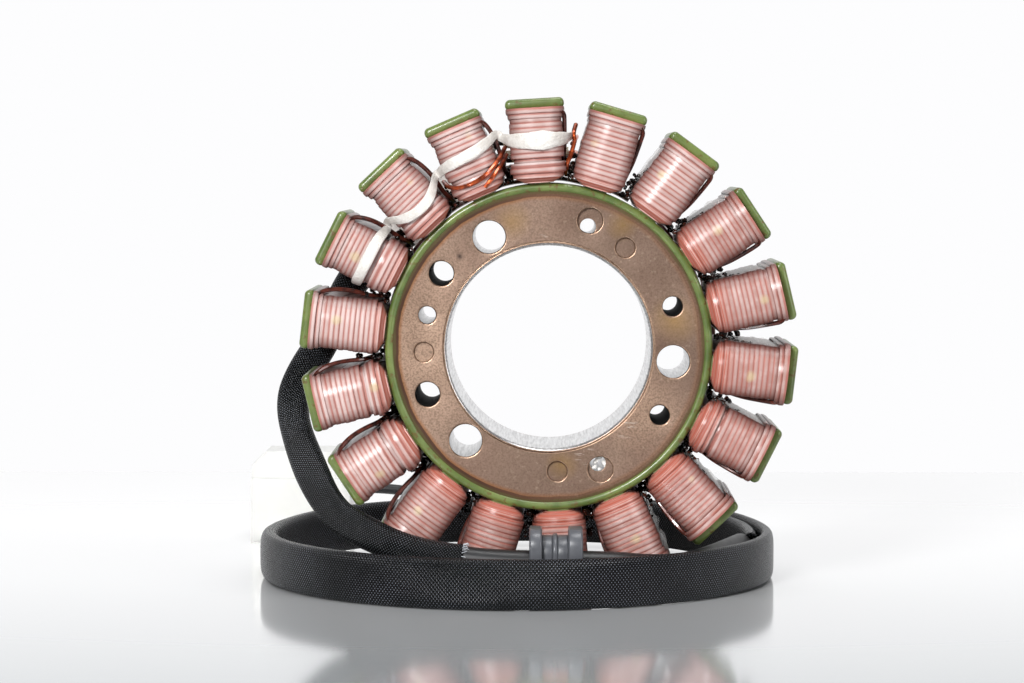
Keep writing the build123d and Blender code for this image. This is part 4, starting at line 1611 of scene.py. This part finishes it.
def thread_skin(pole, inset, first, last, radius):
    """One ragged thread of dark varnish along a film."""
    line, widths = [], []
    for k in range(POINTS_A_STEP * first, POINTS_A_STEP * last):
        reach, forward, outward = film_edge(pole * 7.3, k / POINTS_A_STEP)
        across = (COIL_SIDE - reach) * inset + reach
        across, forward, out = shaken(pole * 3.1 + inset, outward, (across, forward, outward))
        line.append(at_pole(pole, -across, forward, out))
        swell = 0.55 + 0.9 * noise.noise(Vector((pole, outward * 1.7, inset)))
        widths.append(2 * max(0.05, radius * swell) * MM)
    rows = zip(line, headings(line), widths)
    return skin([flat_ring(point, way, ASKEW, width, width, 2.0, 6) for point, way, width in rows])


def crust_parts():
    """Dark varnish that dried in ragged threads on those fins and against the coil."""
    return [thread_skin(pole, *thread) for pole in FILM_POLES for thread in THREADS]


# %% Varnish scab
SCAB_LUMPS = 14


def scab_parts():
    """A white scab of varnish across the lower eyelet's hole."""
    draw = random.Random(3)
    _, reach, angle = EYELETS[-1]
    parts = []
    for _ in range(SCAB_LUMPS):
        away = (reach + draw.uniform(-1.5, 1.5)) * MM - PILOT_SHIFT
        x, z = polar(away, angle + draw.uniform(-3.2, 3.2))
        centre = Vector((x, bare_front + draw.uniform(1.4, 2.6) * MM, z))
        parts.append(lump(centre, draw.uniform(0.3, 0.6) * MM, draw))
    return parts


dark_resin = dark_varnish()
add_piece("varnish_lumps", mesh_from("varnish_lumps", lump_parts()), [dark_resin])
add_piece("varnish_crust", mesh_from("varnish_crust", crust_parts()), [dark_resin])
add_piece("varnish_films", mesh_from("varnish_films", film_parts()), [clear_varnish()])
white_scab = plain_finish("white_varnish_scab", "#eceae6", 0.35)
add_piece("varnish_scab", mesh_from("varnish_scab", scab_parts()), [white_scab])

# %% [markdown]
# ## Lacing tape
#
# A flat glass-fibre tape ties the wires down at the top left. It is one soft length, so it dips and
# twists a little, runs over the face of each coil and down into each gap. Two more bands hold the
# sleeve against the backs of the coils. The tape is white and stiff with varnish. A cloth simulation
# would be slow and hard to steer, so the way of the tape is a list of points with its width at each,
# cut smooth like the wires. Real yarns are 0.3 mm or less. They are drawn at 0.45 mm so that they show.

# %% Lacing tape
def glass_tape(name, base, shadow):
    """Woven glass yarn, stiff with varnish."""
    material, tree, place = start_material(name)
    yarn = add_node(tree, "TexNoise", {"Vector": place, "Scale": per(0.45), "Detail": 2.0})
    soaked = add_node(tree, "TexNoise", {"Vector": place, "Scale": per(2.5), "Detail": 3.0})
    shade = stained(tree, base, [(soaked, 0.4, 0.7, 0.6, shadow), (yarn, 0.35, 0.2, 0.5, "#9c958c")])
    bump = add_node(tree, "Bump", {"Height": yarn, "Strength": 0.9, "Distance": 0.25 * MM})
    inputs = {"Base Color": shade, "Roughness": 0.5, "Coat Weight": 0.25, "Normal": bump}
    return end_material(material, inputs)


# %% Lacing tape route
TAPE_THICKNESS = 0.6 * MM
HITCH_ANGLES = (123.4, 143.4)
HITCH_HALF_WIDE, HITCH_HALF_DEEP, HITCH_SLACK = 4.45 * MM, 2.1 * MM, 0.35 * MM
HITCH_POINTS = 40
# The band's own section in millimetres: (along the sleeve, out from it)
HITCH_SECTION = ((-1.4, -0.2), (-1.4, 0.2), (0, 0.28), (1.4, 0.2), (1.4, -0.2), (0, -0.2))
# (pole, across it, forward from mid-stack, distance from the axis, width), all in millimetres
TAPE_ROUTE = [
    (16, -6.7, 6.0, 44.4, 1.8), (16, -6.6, 14.2, 44.3, 2.2), (16, -4.6, 18.7, 44.2, 2.5),
    (16, 0.0, 20.0, 44.2, 2.6), (16, 4.6, 18.7, 44.1, 2.4), (16, 6.7, 14.6, 43.7, 2.2),
    (16, 7.6, 12.0, 43.4, 1.8), (17, -7.0, 12.6, 44.7, 1.8), (17, -5.9, 16.2, 44.0, 2.1),
    (17, -3.6, 19.3, 42.2, 2.3), (17, 0.0, 20.0, 41.3, 2.3), (17, 3.4, 19.4, 41.6, 2.3),
    (17, 5.9, 16.6, 43.0, 2.1), (17, 7.5, 12.8, 44.5, 1.8), (18, -7.0, 12.6, 44.6, 1.9),
    (18, -5.9, 16.4, 45.1, 2.3), (18, -3.4, 19.3, 45.4, 2.5), (18, 0.0, 20.1, 45.6, 2.5),
    (18, 3.6, 19.2, 46.1, 2.5), (18, 6.3, 15.8, 46.9, 2.3), (18, 7.9, 12.5, 47.8, 2.0),
    (1, -7.3, 12.6, 46.4, 2.2), (1, -6.1, 16.2, 45.8, 2.8), (1, -3.4, 19.3, 45.6, 3.8),
    (1, 0.0, 20.1, 45.5, 4.1), (1, 3.4, 19.3, 45.5, 3.7), (1, 6.1, 16.4, 45.6, 2.7),
    (1, 7.6, 12.0, 46.0, 2.0), (1, 8.3, 7.0, 46.6, 1.6),
]
print(f"tape past {len(TAPE_ROUTE)} points")


# %% Lacing tape and bands
def tape_skin(rows):
    """A soft band through rows of (place, width), which lies flat on what it goes over."""
    line = [Vector(row[:3]) for row in rows]
    rings = []
    for point, way, row in zip(line, headings(line), rows):
        out = Vector((point.x - axis_point.x, 0, point.z - axis_point.z)).normalized()
        swell = 1 + 0.12 * noise.noise(point / (3 * MM))
        rings.append(flat_ring(point, way, out, row[3] * swell * MM, TAPE_THICKNESS, 2.6, 12))
    return skin(rings)


def hitch_skin(angle):
    """A band round the laid sleeve, which holds it to the coils."""
    x, z = polar(LAID_REACH - HITCH_SLACK, angle)
    out = Vector((math.cos(math.radians(angle)), 0, math.sin(math.radians(angle))))
    along = Vector((-out.z, 0, out.x))
    rings = []
    for k in range(HITCH_POINTS):
        c, s = math.cos(2 * math.pi * k / HITCH_POINTS), math.sin(2 * math.pi * k / HITCH_POINTS)
        u = math.copysign(abs(c) ** 0.55, c)
        v = math.copysign(abs(s) ** 0.55, s)
        ring = []
        for side, proud in HITCH_SECTION:
            place = Vector((x, LAID_Y, z)) + out * (HITCH_HALF_WIDE + proud * MM) * u
            place += back_axis * (HITCH_HALF_DEEP + proud * MM) * v + along * side * MM
            ring.append(place)
        rings.append(ring)
    return skin(rings, closed=True)


tape_rows = [(*at_pole(pole, u * MM, f * MM, v * MM), width) for pole, u, f, v, width in TAPE_ROUTE]
tape_parts = [tape_skin(smooth(tape_rows))] + [hitch_skin(angle) for angle in HITCH_ANGLES]
tape_finish = glass_tape("glass_fibre_tape", "#dcd8d3", "#beb7ae")
tape_mesh = mesh_from("lacing_tape_woven", tape_parts)
add_piece("lacing_tape_woven", tape_mesh, [tape_finish], ["lacing_tape"])

# %% [markdown]
# ## Splices
#
# Behind the top coil the coil ends are soldered to the output leads, and each joint is slipped into
# a short tube of cream glass sleeving. The leads go on into the black sleeve. A plain cylinder would
# look hard, so each tube is drawn in at its ends and waves a little. The photograph shows none of
# this, so it is kept simple.

# %% Splices
SPLICE_ANGLE = 93.8
SPLICE_SPACING = 3.4 * MM
SPLICE_HALF = 7.5 * MM
SPLICE_RADIUS = 1.5 * MM
SPLICE_Y = 18.9 * MM
LEAD_RADIUS = 0.9 * MM
LEAD_SPACING = 1.9 * MM
print(f"splices {2 * SPLICE_HALF / MM:.0f} mm long, {SPLICE_SPACING / MM:.1f} mm apart")
splice_way = Vector((-math.sin(math.radians(SPLICE_ANGLE)), 0, math.cos(math.radians(SPLICE_ANGLE))))
splice_finish = glass_tape("cream_glass_sleeving", "#ddd3bd", "#b8a888")
# The coils' ends, as rows of (pole, across it, forward from mid-stack, distance from the axis)
COIL_ENDS = [
    [(1, 7.2, -17.0, 39.0), (1, 8.4, -19.4, 39.0), (1, 8.6, -20.8, 39.4), (1, 5.5, -20.8, 39.1)],
    [(1, 7.6, -15.0, 41.5), (1, 9.2, -19.0, 42.4), (1, 8.8, -20.8, 42.6), (1, 5.5, -20.8, 42.5)],
    [(1, 8.0, -13.0, 44.5), (1, 9.4, -18.0, 46.2), (1, 9.0, -20.8, 46.1), (1, 5.5, -20.8, 45.9)],
]


# %% Splice pieces
def splice_middle(number):
    """The middle of one of the three splices, which lie side by side."""
    x, z = polar(LAID_REACH + (number - 2) * SPLICE_SPACING, SPLICE_ANGLE)
    return Vector((x, SPLICE_Y, z))


def splice_skin(number):
    """A short tube, drawn in at its ends and slightly wavy."""
    rings = []
    for share in [k / 12 - 1 for k in range(25)]:
        full = SPLICE_RADIUS * 2 * (1 - 0.12 * abs(share) ** 6 - 0.03 * math.sin(9 * share + number))
        place = splice_middle(number) + splice_way * share * SPLICE_HALF
        rings.append(flat_ring(place, splice_way, back_axis, full, full, 2.0, 20))
    return skin(rings)


def lead_skin(number):
    """The output lead from a splice into the mouth of the upper sleeve."""
    middle = splice_middle(number)
    aside = (upper_line[0] - axis_point).normalized() * (number - 2) * LEAD_SPACING
    line = [middle + splice_way * 6 * MM, middle + splice_way * 9 * MM, upper_line[4] + aside]
    return wire_skin(line, LEAD_RADIUS, 10)


for number in (1, 2, 3):
    name = f"splice_sleeving_{number}"
    splice_mesh = mesh_from(name, [splice_skin(number)])
    add_piece(name, splice_mesh, [splice_finish], [f"splice_sleeve_{number}"])
lead_mesh = mesh_from("splice_leads", [lead_skin(number) for number in (1, 2, 3)])
add_piece("splice_leads", lead_mesh, [black_pvc])
end_parts = [wire_skin(pole_line(rows), WIRE_RADIUS) for rows in COIL_ENDS]
add_piece("coil_ends", mesh_from("coil_ends", end_parts), [bright_enamel])

# %% [markdown]
# ## Studio
#
# The photograph has a white sweep behind and a glossy white table that mirrors the ring. The room
# in front is dark, so the faces of the coils show one soft lamp as a narrow streak, and black stays
# black. The camera itself sees white all round, also from the other sides. The table could be one
# physical shader, but a white diffuse sheet and a clear mirror, mixed by the Fresnel share, let the
# strength of the reflection be matched by itself.

# %% Studio
TABLE_HALF = 3.0
TABLE_NEAR = -2.5
TABLE_FAR = 0.256


def gloss_table():
    """White acrylic sheet: a clear mirror at this low angle, its white painted darker towards the front as
    light fall-off.
    """
    material, tree, place = start_material("white_acrylic_table")
    depth = add_node(tree, "SeparateXYZ", {0: place}).outputs["Y"]
    # Painted shade: the white sheet darkens towards the front, as the light falls off
    shade = stained(tree, "#93989b", [(depth, -0.15, 0.12, 1.0, "#ffffff")])
    white = add_node(tree, "BsdfDiffuse", {"Color": shade})
    mirror = add_node(tree, "BsdfGlossy", {"Color": colour("#ffffff"), "Roughness": 0.1})
    edge_on = add_node(tree, "Fresnel", {"IOR": 1.45})
    share = add_node(tree, "Math", {0: edge_on, 1: 1.4}, operation="MULTIPLY", use_clamp=True)
    mixed = add_node(tree, "MixShader", {0: share, 1: white, 2: mirror})
    add_node(tree, "OutputMaterial", {"Surface": mixed})
    return material


corners = [(-1, TABLE_NEAR), (1, TABLE_NEAR), (1, TABLE_FAR), (-1, TABLE_FAR)]
table_mesh = bpy.data.meshes.new("table")
table_mesh.from_pydata([(side * TABLE_HALF, y, FLOOR_Z) for side, y in corners], [], [(0, 1, 2, 3)])
table = bpy.data.objects.new("table", table_mesh)
bpy.context.scene.collection.objects.link(table)
table_mesh.materials.append(gloss_table())
print(f"table {2 * TABLE_HALF} m wide")

# %% White sweep
world = bpy.data.worlds.new("white_sweep")
bpy.context.scene.world = world
world.use_nodes = True
world_tree = world.node_tree
world_tree.nodes.clear()
way = add_node(world_tree, "TexCoord").outputs["Generated"]
to_back = add_node(world_tree, "SeparateXYZ", {0: way}).outputs["Y"]
sweep = add_node(world_tree, "MapRange", {"Value": to_back, "From Max": 0.5, "To Min": 0.07})
ray = add_node(world_tree, "LightPath").outputs
direct = {0: ray["Is Camera Ray"], 1: ray["Is Transmission Ray"]}
seen_white = add_node(world_tree, "Math", direct, operation="MAXIMUM")
strength = add_node(world_tree, "Math", {0: seen_white, 1: sweep}, operation="MAXIMUM")
backdrop = add_node(world_tree, "Background", {"Color": colour("#fdfdfe"), "Strength": strength})
add_node(world_tree, "OutputWorld", {"Surface": backdrop})
print(f"world {world.name}: {len(world_tree.nodes)} nodes")


# %% Lamps
def add_lamp(name, place, size, watts):
    """A soft square lamp that faces the middle of the ring."""
    lamp_data = bpy.data.lights.new(name, "AREA")
    lamp_data.size = size
    lamp_data.energy = watts
    lamp = bpy.data.objects.new(name, lamp_data)
    bpy.context.scene.collection.objects.link(lamp)
    lamp.location = place
    lamp.rotation_euler = (axis_point - Vector(place)).to_track_quat("-Z", "Y").to_euler()
    print(f"{name} lamp {size} m, {watts} W")


add_lamp("key", (-0.27, -0.68, 0.36), 0.18, 6.6)
add_lamp("fill", (0.75, -0.60, 0.30), 0.5, 3.4)
add_lamp("top", (0.1, -0.15, 0.9), 0.35, 3.6)

bpy.context.scene.view_settings.view_transform = "Standard"
